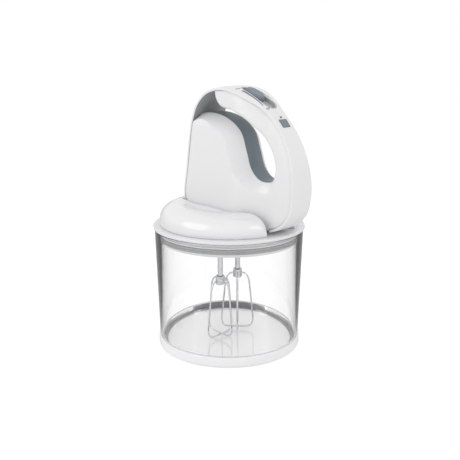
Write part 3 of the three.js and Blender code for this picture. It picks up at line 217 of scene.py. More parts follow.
BULGE_START, BULGE_END, BULGE_TOP, BULGE_OVER = (v * MM for v in (22, 72, 108, 130))
FOOT_TOP, FOOT_INNER = 12.6 * MM, 71.5 * MM  # the bowl's thick foot: below this height, outside this radius
ROUNDED_EDGE = 11 * MM  # the side shells round over this far inside the band
MOUTH_CHAMFER, MOUTH_ROUND = 1.9, 0.9  # the mouth is a straight chamfer at 2, a quarter of a circle at 1


class MixerForm:
    """The mixer's outer form: widths, bulges and curves that its mouldings share."""

    def __init__(self, body):
        self.body = body
        spline = Spline(BODY_SIDE)
        self.top = Track([spline.at(i / FINE) for i in range(spline.spans * FINE + 1)])
        self.middle = Spline(OPENING_MIDDLE, closed=True)
        self.side = Spline(OPENING_SIDE, closed=True)

    def band_half(self, point):
        """Half width of the outer band at a place of the side view."""
        body = self.body
        waist = smooth((point.y - body.waist_start) / body.waist_length)
        rear = mix(body.rear_half, body.waist_half, waist)
        return mix(body.front_half, rear, smooth((point.x - body.taper_start) / body.taper_length))

    def side_half(self, point):
        """Half width of the side shells at a place of the side view."""
        rearwards = 1 - smooth((point.x - BULGE_START) / (BULGE_END - BULGE_START))
        upwards = 1 - smooth((point.y - BULGE_TOP) / (BULGE_OVER - BULGE_TOP))
        return self.band_half(point) - self.body.rim_recess + self.body.pod_bulge * rearwards * upwards

    def crown(self, point):
        """Rise of the band's middle, with the thumb pad on the handle's top."""
        if point.y < BODY_HEIGHT * MM / 2:
            return self.body.band_crown
        share = 0.0
        for (start, low), (end, high) in zip(HUMP, HUMP[1:]):
            if start <= point.x < end:
                share = mix(low, high, smooth((point.x - start) / (end - start)))
        return self.body.band_crown + self.body.thumb_pad * share

    def along(self, distance):
        """Point of the body's outline at a distance along it, with the outward direction there."""
        step = 0.4 * MM
        here = self.top.at(clamp(distance, 0, self.top.length))
        ahead = self.top.at(clamp(distance + step, 0, self.top.length))
        behind = self.top.at(clamp(distance - step, 0, self.top.length))
        forward = (ahead - behind).normalized()
        return here, Vector((-forward.y, forward.x))

    def top_at(self, x):
        """Distance along the outline to the place on the handle's top or back with this x."""
        for i, point in enumerate(self.top.points):
            if point.x > x and point.y > BODY_HEIGHT * MM / 2:
                before = self.top.points[i - 1]
                share = (x - before.x) / (point.x - before.x)
                return mix(self.top.reach[i - 1], self.top.reach[i], share)
        raise ValueError("no such place on the handle's top")

    def on_band(self, distance, across, lift=0.0):
        """A point of the band's outer surface, at a distance along it and across it."""
        here, out = self.along(distance)
        rise = self.crown(here) * (1 - (across / self.band_half(here)) ** 4) + lift
        return Vector((here.x + out.x * rise, across, here.y + out.y * rise + SEAT))


# ---------------------------------------------------------------- settings

def length(name, description, default):
    return FloatProperty(name=name, description=description, default=default, unit="LENGTH", min=0.0,
                         precision=5)


def colour(name, description, hex_colour):
    return FloatVectorProperty(name=name, description=description, subtype="COLOR", size=4, min=0.0,
                               max=1.0, default=linear(hex_colour))


class MixerBodySettings(bpy.types.PropertyGroup):
    front_half: length("Front half width", "Half width of the band round the nose", 0.0252)
    rear_half: length("Rear half width", "Half width of the band at the heel", 0.0165)
    waist_half: length("Waist half width", "Half width of the band by the button", 0.0128)
    taper_start: length("Taper start", "Where the body starts to narrow", 0.027)
    taper_length: length("Taper length", "How far it takes to narrow", 0.044)
    waist_start: length("Waist start", "Height where the handle starts to narrow", 0.045)
    waist_length: length("Waist length", "How far up it takes to narrow", 0.075)
    band_wall: length("Band wall", "Thickness of the outer band", 0.0024)
    band_crown: length("Band crown", "How much higher the band is along its middle", 0.0006)
    band_edge: length("Band edge", "Rounding of the band's two edges", 0.0009)
    thumb_pad: length("Thumb pad", "Rise of the pad round the speed slot", 0.0012)
    rim_recess: length("Rim recess", "How far the side shells lie inside the band's rim", 0.0009)
    pod_bulge: length("Pod bulge", "How far the motor housing stands out sideways", 0.0042)
    strip_half: length("Strip half width", "Half width of the grip strip", 0.0112)
    strip_wall: length("Strip thickness", "Thickness of the grip strip", 0.0016)
    shell: colour("Shell", "Moulded shells and band", "#E2E2E3")
    # painted shade: the slot's tray is pale grey for the shade in the slot and under the slider
    lining_painted_shade: colour("Slot lining", "Tray under the speed slider", "#B3B4B6")
    grip: colour("Grip", "Soft grip strip, slider and button", "#717D84")
    # painted shade: the band's inner face is painted grey for the shade inside the finger opening
    inside: colour("Inside", "Inner face of the band", "#A6A7A9")
    ink: colour("Scale ink", "Printed speed scale", "#74768A")


class BowlSettings(bpy.types.PropertyGroup):
    wall: length("Wall", "Thickness of the bowl's wall", 0.0022)
    corner: length("Corner", "Inside rounding between wall and floor", 0.0016)
    taper: length("Taper", "How much narrower the bowl is just above its tray", 0.0037)
    rim_wall: length("Tray rim", "Thickness of the tray's rim", 0.0044)
    clear: colour("Clear plastic", "Tint of the bowl", "#FEFEFE")
    seal: colour("Seal", "Silicone seal under the lid", "#9B9C9D")
    rubber: colour("Foot", "Rubber foot", "#8C9194")
    moulding: colour("Lid", "Lid and its guides", "#DEDEDF")
    tray: colour("Tray", "Base tray", "#EBEBEC")
    # painted light: the tray's inner floor is a whiter copy of the tray's white, making up for the shade the
    # bowl and lid cast on it
    tray_floor_painted_light: colour("Tray floor", "Inner floor of the base tray", "#FCFCFC")
    # painted shade: this grey on the inner side of the tray's rim stands for the shade and dark reflection
    # round the bowl's foot
    shade: colour("Rim inside", "Matt inner side of the tray's rim", "#7C7E80")


class DomeSettings(bpy.types.PropertyGroup):
    side: length("Side", "Upright part of the dome's side", 0.0065)
    dip: length("Dip", "How far the top sinks from the shoulder to the pocket", 0.0034)
    dip_start: length("Dip start", "Radius where the top is lowest", 0.034)
    dip_length: length("Dip length", "How far out the top rises again", 0.024)
    height: length("Height", "Height of the dome's shoulder above the lid", 0.0245)
    rear_drop: length("Rear drop", "How much lower the shoulder is beside the heel", 0.0022)
    rear_turn: length("Rear turn", "Length of the rounded rear end", 0.026)
    collar: length("Collar", "Rise of the collar round the mixer's nose", 0.0016)
    collar_reach: length("Collar reach", "How far the collar fades outwards", 0.016)
    clearance: length("Clearance", "Between the pocket and the mixer", 0.0008)
    shell: colour("Dome", "Polished dome", "#E4E4E5")


class BeaterSettings(bpy.types.PropertyGroup):
    shaft: length("Shaft", "Radius of the beater shafts", 0.003)
    wire: length("Wire", "Radius of the wires", 0.00095)
    plating: colour("Plating", "Chrome plating", "#D3D5D7")


class StageSettings(bpy.types.PropertyGroup):
    floor: colour("Floor", "Floor under the object", "#F7F7F7")
    key: FloatProperty(name="Key light", description="Power of the large front light", default=4.6,
                       unit="POWER", min=0.0)
    fill: FloatProperty(name="Fill light", description="Power of the side light", default=3.2,
                        unit="POWER", min=0.0)
    ambient: FloatProperty(name="Ambient", description="Strength of the world's light", default=0.82, min=0.0)
    belt: FloatProperty(name="Belt", description="How bright the room's far wall is in reflections",
                        default=0.6, min=0.0)
    shadow: FloatProperty(name="Shadow", description="How much of the object's shadow the floor shows",
                          default=0.5, min=0.0, max=1.0)
    rings: IntProperty(name="Facets", description="Facets round the bowl and the lid", default=192, min=24)


class MixerSettings(bpy.types.PropertyGroup):
    body: PointerProperty(type=MixerBodySettings)
    bowl: PointerProperty(type=BowlSettings)
    dome: PointerProperty(type=DomeSettings)
    beaters: PointerProperty(type=BeaterSettings)
    stage: PointerProperty(type=StageSettings)


# ---------------------------------------------------------------- materials

def add(tree, kind, sockets=None, **settings):
    """Adds a node, sets its options, and sets or links each named socket."""
    node = tree.nodes.new(kind)
    for name, value in settings.items():
        setattr(node, name, value)
    for name, value in (sockets or {}).items():
        if isinstance(value, bpy.types.NodeSocket):
            tree.links.new(value, node.inputs[name])
        else:
            node.inputs[name].default_value = value
    return node


def surface(name, sockets, colours, patch, grain, depth, roughness):
    """A material whose colour and roughness drift over patches and whose skin has a fine grain.

    patch and grain are the real sizes of the two patterns in metres, depth is the grain's height.
    Each colour of a finish is a material of its own.
    """
    name = f"{name}_{round(1000 * colours[1][0]):03d}"
    found = bpy.data.materials.get(name)
    if found:
        return found
    material = bpy.data.materials.new(name)
    material.use_nodes = True
    tree = material.node_tree
    tree.nodes.clear()
    place = add(tree, "ShaderNodeTexCoord").outputs["Object"]
    drift = add(tree, "ShaderNodeTexNoise", {"Vector": place, "Scale": 1 / patch, "Detail": 2.0})
    tone = add(tree, "ShaderNodeValToRGB", {"Fac": drift.outputs["Fac"]})
    tone.color_ramp.elements[0].color, tone.color_ramp.elements[1].color = colours
    tone.color_ramp.elements[0].position, tone.color_ramp.elements[1].position = 0.35, 0.65
    gloss = add(tree, "ShaderNodeMapRange", {
        "Value": drift.outputs["Fac"], "From Min": 0.3, "From Max": 0.7,
        "To Min": roughness[0], "To Max": roughness[1]})
    skin = add(tree, "ShaderNodeTexNoise", {"Vector": place, "Scale": 1 / grain, "Detail": 3.0})
    bump = add(tree, "ShaderNodeBump", {
        "Height": skin.outputs["Fac"], "Distance": depth, "Strength": 1.0})
    shader = add(tree, "ShaderNodeBsdfPrincipled", {
        "Base Color": tone.outputs["Color"], "Roughness": gloss.outputs["Result"],
        "Normal": bump.outputs["Normal"], **sockets})
    add(tree, "ShaderNodeOutputMaterial", {"Surface": shader.outputs["BSDF"]})
    return material


def shade(rgba, factor):
    return tuple(clamp(v * factor) for v in rgba[:3]) + (1.0,)


def moulded_abs(rgba):
    """Injection-moulded ABS: even white, a soft gloss, and the faint waviness of a thin wall."""
    return surface("moulded_abs", {"IOR": 1.54, "Coat Weight": 0.15, "Coat Roughness": 0.08},
                   (shade(rgba, 0.993), shade(rgba, 1.0)), 45 * MM, 2.5 * MM, 0.001 * MM, (0.27, 0.31))


def painted_shade_abs(rgba):
    """The same ABS, matt, carrying painted shade: the grey it is given stands for shade on faces that look
    inwards.
    """
    return surface("painted_shade_abs", {"IOR": 1.54},
                   (shade(rgba, 0.97), shade(rgba, 1.02)), 25 * MM, 0.7 * MM, 0.01 * MM, (0.5, 0.6))


def polished_abs(rgba):
    """ABS from a mirror-polished mould: the same white, with clear long highlights."""
    return surface("polished_abs", {"IOR": 1.54, "Coat Weight": 0.5, "Coat Roughness": 0.03},
                   (shade(rgba, 0.995), shade(rgba, 1.0)), 60 * MM, 6 * MM, 0.001 * MM, (0.1, 0.14))


def soft_touch(rgba):
    """Elastomer moulded over the shell: satin slate with a fine spark-eroded grain."""
    return surface("soft_touch_elastomer", {"IOR": 1.5, "Sheen Weight": 0.06, "Sheen Roughness": 0.4},
                   (shade(rgba, 0.96), shade(rgba, 1.03)), 20 * MM, 0.6 * MM, 0.02 * MM, (0.42, 0.5))


def foot_rubber(rgba):
    """Cast rubber: matt grey with a coarse grain that holds dust."""
    return surface("cast_rubber", {"IOR": 1.52},
                   (shade(rgba, 0.9), shade(rgba, 1.05)), 15 * MM, 0.8 * MM, 0.05 * MM, (0.75, 0.85))


def silicone(rgba):
    """Moulded silicone: milky grey that lets some light into its lips."""
    return surface("moulded_silicone", {"IOR": 1.43, "Subsurface Weight": 0.25, "Subsurface Scale": 0.002},
                   (shade(rgba, 0.96), shade(rgba, 1.0)), 12 * MM, 2 * MM, 0.02 * MM, (0.3, 0.38))


MIX_A, MIX_B, MIX_OUT = 6, 7, 2  # the colour sockets of a Mix node, which shares their names with others
# painted reflection: this dark grey stands for the dark room seen in the bowl's thick foot
FOOT_PAINTED_DARK = "#77797B"  # the thick foot, where the clear wall shows the dark of the room


def clear_san(rgba):
    """Moulded SAN: water-clear with a polished skin, so its edges gather the dark of the room.

    Light that falls on what is inside passes straight through the thin wall.
    """
    material = surface("clear_san", {"IOR": 1.57, "Transmission Weight": 1.0},
                       (shade(rgba, 0.995), shade(rgba, 1.0)), 80 * MM, 30 * MM, 0.001 * MM, (0.0, 0.01))
    tree = material.node_tree
    if "Mix Shader" in tree.nodes:
        return material
    place = add(tree, "ShaderNodeTexCoord").outputs["Object"]
    height = add(tree, "ShaderNodeSeparateXYZ", {"Vector": place}).outputs["Z"]
    level = add(tree, "ShaderNodeVectorMath", {0: place, 1: (1.0, 1.0, 0.0)},
                operation="MULTIPLY").outputs["Vector"]
    radius = add(tree, "ShaderNodeVectorMath", {0: level}, operation="LENGTH").outputs["Value"]
    # painted reflection: below FOOT_TOP and outside FOOT_INNER the clear base colour turns to dark grey
    low = add(tree, "ShaderNodeMath", {0: height, 1: FOOT_TOP}, operation="LESS_THAN").outputs[0]
    outer = add(tree, "ShaderNodeMath", {0: radius, 1: FOOT_INNER}, operation="GREATER_THAN").outputs[0]
    foot = add(tree, "ShaderNodeMath", {0: low, 1: outer}, operation="MULTIPLY").outputs[0]
    shader = tree.nodes["Principled BSDF"]
    clear = shader.inputs["Base Color"].links[0].from_socket
    foot_dark_mix = add(tree, "ShaderNodeMix", {"Factor": foot}, data_type="RGBA")
    tree.links.new(clear, foot_dark_mix.inputs[MIX_A])
    foot_dark_mix.inputs[MIX_B].default_value = linear(FOOT_PAINTED_DARK)
    tree.links.new(foot_dark_mix.outputs[MIX_OUT], shader.inputs["Base Color"])
    ray = add(tree, "ShaderNodeLightPath")
    passed = add(tree, "ShaderNodeMath", {0: ray.outputs["Is Shadow Ray"], 1: ray.outputs["Is Diffuse Ray"]},
                 operation="MAXIMUM")
    straight = add(tree, "ShaderNodeBsdfTransparent", {"Color": shade(rgba, 0.98)})
    both = add(tree, "ShaderNodeMixShader", {0: passed.outputs[0]})
    tree.links.new(tree.nodes["Principled BSDF"].outputs["BSDF"], both.inputs[1])
    tree.links.new(straight.outputs["BSDF"], both.inputs[2])
    tree.links.new(both.outputs["Shader"], tree.nodes["Material Output"].inputs["Surface"])
    return material


def chrome_plate(rgba):
    """Bright chrome over steel: hard reflections with the slight pull of a polishing wheel."""
    return surface("chrome_plate", {"Metallic": 1.0},
                   (shade(rgba, 0.94), shade(rgba, 1.0)), 8 * MM, 1.5 * MM, 0.004 * MM, (0.06, 0.12))


def printed_ink(rgba):
    """Pad-printed ink: flat violet grey, slightly duller than the shell it lies on."""
    return surface("pad_print", {"IOR": 1.5},
                   (shade(rgba, 0.95), shade(rgba, 1.03)), 3 * MM, 0.3 * MM, 0.003 * MM, (0.45, 0.55))


# sealed inside or only glimpsed: name, colour, patch mm, grain mm, depth mm, roughness, shader sockets
INNER_FINISHES = {
    "black_nylon": ("#26282A", 10, 0.8, 0.02, (0.5, 0.6), {"IOR": 1.53}),
    "glass_epoxy": ("#245A3A", 6, 0.7, 0.01, (0.35, 0.45), {"IOR": 1.55}),
    "printed_sleeve": ("#2E6B58", 12, 1.5, 0.01, (0.3, 0.4), {"IOR": 1.5}),
    "acetal": ("#DAD5C8", 10, 1.2, 0.01, (0.35, 0.45), {"IOR": 1.48}),
    "sintered_bronze": ("#B08D4E", 5, 0.5, 0.02, (0.35, 0.5), {"Metallic": 1.0}),
    "zinc_plated_steel": ("#A9ADB0", 6, 0.9, 0.01, (0.28, 0.4), {"Metallic": 1.0}),
    "wound_core": ("#9A5A34", 3, 0.6, 0.04, (0.4, 0.55), {"Metallic": 0.8}),
    "ferrite": ("#2B2B2E", 5, 0.6, 0.02, (0.55, 0.7), {"IOR": 1.6}),
}
INNER_PIECES = {
    "black_nylon": ("speed_carriage", "button_switch", "charge_jack", "battery_holder", "motor_cap"),
    "glass_epoxy": ("speed_board",),
    "printed_sleeve": ("battery_cell_left", "battery_cell_right"),
    "acetal": ("gearbox_frame", "gearbox_cover", "worm_wheel_left", "worm_wheel_right"),
    "sintered_bronze": ("lower_bush_left", "lower_bush_right", "upper_bush_left", "upper_bush_right",
                        "nose_bearing", "front_bearing", "rear_bearing", "commutator"),
    "zinc_plated_steel": ("motor_can", "motor_shaft", "worm", "spindle_left", "spindle_right",
                          "housing_screw_1", "housing_screw_2", "housing_screw_3", "housing_screw_4",
                          "gearbox_screw_1", "gearbox_screw_2"),
    "wound_core": ("rotor_core",),
    "ferrite": ("motor_magnet", "motor_brush_left", "motor_brush_right"),
}


# ---------------------------------------------------------------- modelling

def swept(sections, closed_ends=True):
    """Extrudes a closed section from place to place; every section has as many points as the first."""
    mesh = bmesh.new()
    row = [mesh.verts.new(point) for point in sections[0]]
    edges = [mesh.edges.new(pair) for pair in zip(row, row[1:] + row[:1])]
    if closed_ends:
        mesh.faces.new(row)
    for section in sections[1:]:
        grown = bmesh.ops.extrude_edge_only(mesh, edges=edges)["geom"]
        fresh = {item for item in grown if isinstance(item, bmesh.types.BMVert)}
        edges = [item for item in grown if isinstance(item, bmesh.types.BMEdge)]
        row = [next(e.other_vert(v) for e in v.link_edges if e.other_vert(v) in fresh) for v in row]
        for vertex, point in zip(row, section):
            vertex.co = point
    if closed_ends:
        mesh.faces.new(row)
    bmesh.ops.recalc_face_normals(mesh, faces=mesh.faces)
    return mesh


def turned(profile, facets, closed=True):
    """Spins a profile of (radius, height) points about the Z axis."""
    mesh = bmesh.new()
    row = [mesh.verts.new((point[0], 0, point[1])) for point in profile]
    edges = [mesh.edges.new(pair) for pair in zip(row, row[1:])]
    if closed:
        edges.append(mesh.edges.new((row[-1], row[0])))
    bmesh.ops.spin(mesh, geom=row + edges, cent=(0, 0, 0), axis=(0, 0, 1), angle=2 * math.pi,
                   steps=facets, use_merge=True, use_duplicate=False)
    bmesh.ops.remove_doubles(mesh, verts=mesh.verts, dist=1e-6)
    bmesh.ops.recalc_face_normals(mesh, faces=mesh.faces)
    return mesh


def joined(*meshes):
    """Puts several bmeshes into one."""
    whole = meshes[0]
    for other in meshes[1:]:
        spare = bpy.data.meshes.new("spare")
        other.to_mesh(spare)
        other.free()
        whole.from_mesh(spare)
        bpy.data.meshes.remove(spare)
    return whole


def as_object(mesh, name):
    data = bpy.data.meshes.new(name)
    mesh.to_mesh(data)
    mesh.free()
    piece = bpy.data.objects.new(name, data)
    bpy.context.scene.collection.objects.link(piece)
    return piece


def carved(piece, *cutters):
    """Cuts closed bmeshes out of a piece and leaves the result in its mesh."""
    tools = [as_object(cutter, "cutter") for cutter in cutters]
    for tool in tools:
        cut = piece.modifiers.new("cut", "BOOLEAN")
        cut.operation, cut.solver, cut.object = "DIFFERENCE", "EXACT", tool
    seen = piece.evaluated_get(bpy.context.evaluated_depsgraph_get())
    result = bpy.data.meshes.new_from_object(seen)
    piece.modifiers.clear()
    old = piece.data
    piece.data = result
    bpy.data.meshes.remove(old)
    for tool in tools:
        spare = tool.data
        bpy.data.objects.remove(tool)
        bpy.data.meshes.remove(spare)
    return piece


def dressed(piece, body, slot, material, *nodes, sharp=40):
    """Shades a finished piece, gives it its material and lets it stand for its CAD nodes."""
    piece.data.materials.clear()
    piece.data.materials.append(material)
    piece.data.shade_smooth()
    piece.data.set_sharp_from_angle(angle=math.radians(sharp))
    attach(piece, body)
    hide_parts(*nodes)
    return piece


def circle(radius, count):
    return [(radius * math.cos(2 * math.pi * i / count), radius * math.sin(2 * math.pi * i / count))
            for i in range(count)]


def stadium(span, width, steps=10):
    """Outline of a slot with round ends, as (along, across) pairs."""
    points = []
    radius = width / 2
    for end, start in ((1, -90), (-1, 90)):
        for i in range(steps + 1):
            angle = math.radians(start + 180 * i / steps)
            points.append((end * (span / 2 - radius) + radius * math.cos(angle), radius * math.sin(angle)))
    return points


def slab(outline, levels, place):
    """A closed block over an outline of pairs; levels are (height, inset share) and place maps to space."""
    return swept([[place(a * share, b * share, height) for a, b in outline] for height, share in levels])


# ---------------------------------------------------------------- bowl, tray and lid

class MIXER_OT_tray(bpy.types.Operator):
    """Tray that the bowl stands in, with its rubber foot"""
    bl_idname = "mixer.tray"
    bl_label = "Base tray"

    def execute(self, context):
        settings = context.scene.mixer.bowl
        facets = context.scene.mixer.stage.rings
        low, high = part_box("base_tray")
        foot_low, foot_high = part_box("foot_pad")
        recess, recess_top = foot_high.x + GAP, foot_high.z + GAP
        radius, floor = high.x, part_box("bowl")[0].z - GAP
        inner = radius - settings.rim_wall
        profile = softened([
            (0, recess_top, 0), (recess, recess_top, 0), (recess, low.z, 0), (radius, low.z, 2.0 * MM),
            (radius, high.z, 1.3 * MM), (inner, high.z, 0.5 * MM), (inner, floor, 0.3 * MM), (0, floor, 0),
        ])
        tray = as_object(turned(profile, facets), "tray_moulding")
        dressed(tray, "base", "white_plastic", moulded_abs(settings.tray), "base_tray")
        # painted shade: the second material, grey and matt, goes on the rim's faces that look inwards
        tray.data.materials.append(painted_shade_abs(settings.shade))
        # painted light: the third material, a whiter copy of the tray's white, goes on the floor inside the rim
        tray.data.materials.append(moulded_abs(settings.tray_floor_painted_light))
        for face in tray.data.polygons:
            outwards = Vector((face.center.x, face.center.y, 0))
            if face.center.z > floor - 0.1 * MM and face.normal.dot(outwards) < -0.5 * outwards.length:
                face.material_index = 1
            elif abs(face.center.z - floor) < 0.1 * MM and face.normal.z > 0.9:
                face.material_index = 2
        pad = turned(softened([
            (0, foot_low.z, 0), (foot_high.x, foot_low.z, 0.5 * MM), (foot_high.x, foot_high.z, 0),
            (0, foot_high.z, 0)]), facets)
        foot = as_object(pad, "rubber_foot")
        dressed(foot, "base", "grey_rubber", foot_rubber(settings.rubber), "foot_pad")
        return {"FINISHED"}


class MIXER_OT_bowl(bpy.types.Operator):
    """Clear mixing bowl"""
    bl_idname = "mixer.bowl"
    bl_label = "Clear bowl"

    def execute(self, context):
        settings = context.scene.mixer.bowl
        low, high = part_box("bowl")
        wall, radius = settings.wall, high.x
        tray_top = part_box("base_tray")[1].z
        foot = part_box("base_tray")[1].x - settings.rim_wall - GAP
        step = tray_top + GAP
        outer_low = radius - settings.taper
        slope = settings.taper / (high.z - step)
        inner_low = outer_low - wall - slope * (step - low.z - wall)
        profile = softened([
            (0, low.z, 0), (foot, low.z, 1.6 * MM), (foot, step, 0), (outer_low, step, 0.5 * MM),
            (radius, high.z, 0.7 * MM), (radius - wall, high.z, 0.7 * MM),
            (inner_low, low.z + wall, settings.corner), (0, low.z + wall, 0),
        ], steps=7)
        bowl = as_object(turned(profile, context.scene.mixer.stage.rings), "bowl_moulding")
        dressed(bowl, "bowl", "clear_plastic", clear_san(settings.clear), "bowl")
        return {"FINISHED"}


class MIXER_OT_lid(bpy.types.Operator):
    """Flat lid with its skirt, the guides for the beater shafts and the seal"""
    bl_idname = "mixer.lid"
    bl_label = "Lid and seal"

    def execute(self, context):
        settings = context.scene.mixer.bowl
        facets = context.scene.mixer.stage.rings
        low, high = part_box("lid")
        seal_low, seal_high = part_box("lid_seal")
        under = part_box("bowl")[1].z + GAP
        skirt = 77.4 * MM
        rib = seal_high.x - 1.0 * MM
        rib_wall = 1.4 * MM
        lower_top, upper_bottom = seal_low.z - GAP, seal_high.z + GAP
        profile = softened([
            (0, under, 0), (skirt - 2 * MM, under, 0.8 * MM), (skirt - 2 * MM, low.z, 0.4 * MM),
            (skirt, low.z, 0.5 * MM), (skirt, lower_top - rib_wall, 0), (rib, lower_top - rib_wall, 0.4 * MM),
            (rib, lower_top, 0.4 * MM), (skirt, lower_top, 0), (skirt, upper_bottom, 0),
            (rib, upper_bottom, 0.4 * MM), (rib, upper_bottom + rib_wall, 0.4 * MM),
            (skirt, upper_bottom + rib_wall, 0), (skirt, under, 0), (high.x, under, 1.1 * MM),
            (high.x, high.z, 1.5 * MM), (0, high.z, 0),
        ])
        hole, guide = 4.2 * MM, 6.8 * MM
        guides, holes = [], []
        for y in BEATER_Y.values():
            tube = turned(softened([
                (hole, low.z + 4 * MM, 0.3 * MM), (guide, low.z + 4 * MM, 0.6 * MM),
                (guide, under + 0.5 * MM, 0), (hole, under + 0.5 * MM, 0)]), 48)
            bmesh.ops.translate(tube, verts=tube.verts, vec=(0, y, 0))
            guides.append(tube)
            drill = turned([(0, low.z), (hole, low.z), (hole, high.z + 1 * MM), (0, high.z + 1 * MM)], 48,
                           closed=False)
            bmesh.ops.translate(drill, verts=drill.verts, vec=(0, y, 0))
            holes.append(drill)
        lid = carved(as_object(turned(profile, facets), "lid_moulding"), *holes)
        dressed(lid, "lid", "white_plastic", moulded_abs(settings.moulding), "lid")
        tubes = as_object(joined(*guides), "lid_guides")
        dressed(tubes, "lid", "white_plastic", moulded_abs(settings.moulding))
        middle = (seal_low.z + seal_high.z) / 2
        inner = skirt + GAP
        lips = softened([
            (inner, seal_low.z, 0), (seal_high.x, seal_low.z, 0.9 * MM),
            (seal_high.x, middle - 0.5 * MM, 0.5 * MM), (seal_high.x - 1.3 * MM, middle, 0.5 * MM),
            (seal_high.x, middle + 0.5 * MM, 0.5 * MM), (seal_high.x, seal_high.z, 0.9 * MM),
            (inner, seal_high.z, 0)])
        seal = as_object(turned(lips, facets), "seal_ring")
        dressed(seal, "lid", "grey_seal", silicone(settings.seal), "lid_seal")
        return {"FINISHED"}


# ---------------------------------------------------------------- dome

class MIXER_OT_dome(bpy.types.Operator):
    """Polished dome with the pocket that cradles the mixer"""
    bl_idname = "mixer.dome"
    bl_label = "Dome"

    def execute(self, context):
        dome = context.scene.mixer.dome
        form = MixerForm(context.scene.mixer.body)
        low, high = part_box("lid_dome")
        radius, rear = -low.x, high.x
        shoulder = dome.height - dome.side
        reach = shoulder * 1.2

        def height(r, x):
            inside = clamp((radius - r) / reach)
            lower = dome.rear_drop * smooth((x + 10 * MM) / (50 * MM))
            rise = dome.side + (shoulder - lower) * math.sqrt(max(0.0, 1 - (1 - inside) ** 2))
            rise -= dome.dip * (1 - smooth((r - dome.dip_start) / dome.dip_length))
            behind = clamp((x - rear + dome.rear_turn) / dome.rear_turn)
            limit = dome.height * math.sqrt(max(0.0, 1 - behind ** 2))
            soft = 1.2 * MM
            return -soft * math.log(math.exp(-rise / soft) + math.exp(-limit / soft))

        front_half = form.body.front_half - form.body.rim_recess + form.body.pod_bulge + dome.clearance
        rear_half = math.sqrt(radius ** 2 - rear ** 2)
        front = -NOSE * MM - dome.clearance
        turn = 5 * MM
        edge = [Vector((front, y)) for y in (0, 8 * MM, 16 * MM)]
        for i in range(9):
            angle = math.radians(90 * i / 8)
            edge.append(Vector((front + turn * (1 - math.cos(angle)),
                                front_half - turn + turn * math.sin(angle))))
        start = form.body.taper_start
        for i in range(1, 9):
            edge.append(Vector((mix(front + turn, start, i / 8), front_half)))
        for i in range(1, 17):
            share = i / 16
            edge.append(Vector((mix(start, rear, share), mix(front_half, rear_half, smooth(share)))))
        track = Track(edge)
        shares = [1 - (1 - i / 120) ** 1.6 for i in range(121)]
        half_edge = [track.at(track.length * share * 0.9985) for share in shares]
        whole = [Vector((p.x, -p.y)) for p in reversed(half_edge)] + half_edge[1:]
        angles = [math.radians(a) for a in (90, 84, 76, 67, 58, 49, 40, 31, 22, 13, 6, 0)]
        sections = []
        for point in whole:
            r0 = point.length
            ray = point / r0
            fade = 1 - smooth((point.x + 20 * MM) / (90 * MM))
            lift = dome.collar * fade + 0.5 * MM
            flat = radius - reach

            def top(r):
                here = ray * r
                rim = 1 - smooth((r - r0) / dome.collar_reach)
                return DOME_BASE + height(r, here.x) + lift * rim * clamp(height(r, here.x) / (12 * MM))

            stops = [r0 + 0.5 * MM, r0 + 1.2 * MM] + [r0 + d * MM for d in (2.5, 4, 6, 8.5, 11, 14)]
            inner = [r0 + (r - r0) * min(1.0, max(flat - r0, 0.3 * (radius - r0)) / (14 * MM)) for r in stops]
            base = inner[-1]
            around = [max(base, radius - (radius - base) * (1 - math.cos(a))) for a in angles]
            rs = inner + around
            ring = [Vector((point.x, point.y, DOME_BASE))]
            ring.append(Vector((point.x, point.y, top(r0) - 0.5 * MM)))
            ring.append(Vector((*(ray * (r0 + 0.15 * MM)), top(r0) - 0.15 * MM)))
            for r in rs:
                ring.append(Vector((*(ray * min(r, radius)), top(min(r, radius)))))
            ring.append(Vector((*(ray * radius), DOME_BASE + 0.6 * MM)))
            ring.append(Vector((*(ray * (radius - 0.4 * MM)), DOME_BASE)))
            sections.append(ring)
        piece = as_object(swept(sections), "dome_moulding")
        dressed(piece, "lid", "gloss_white", polished_abs(dome.shell), "lid_dome", sharp=50)
        return {"FINISHED"}


# ---------------------------------------------------------------- mixer body

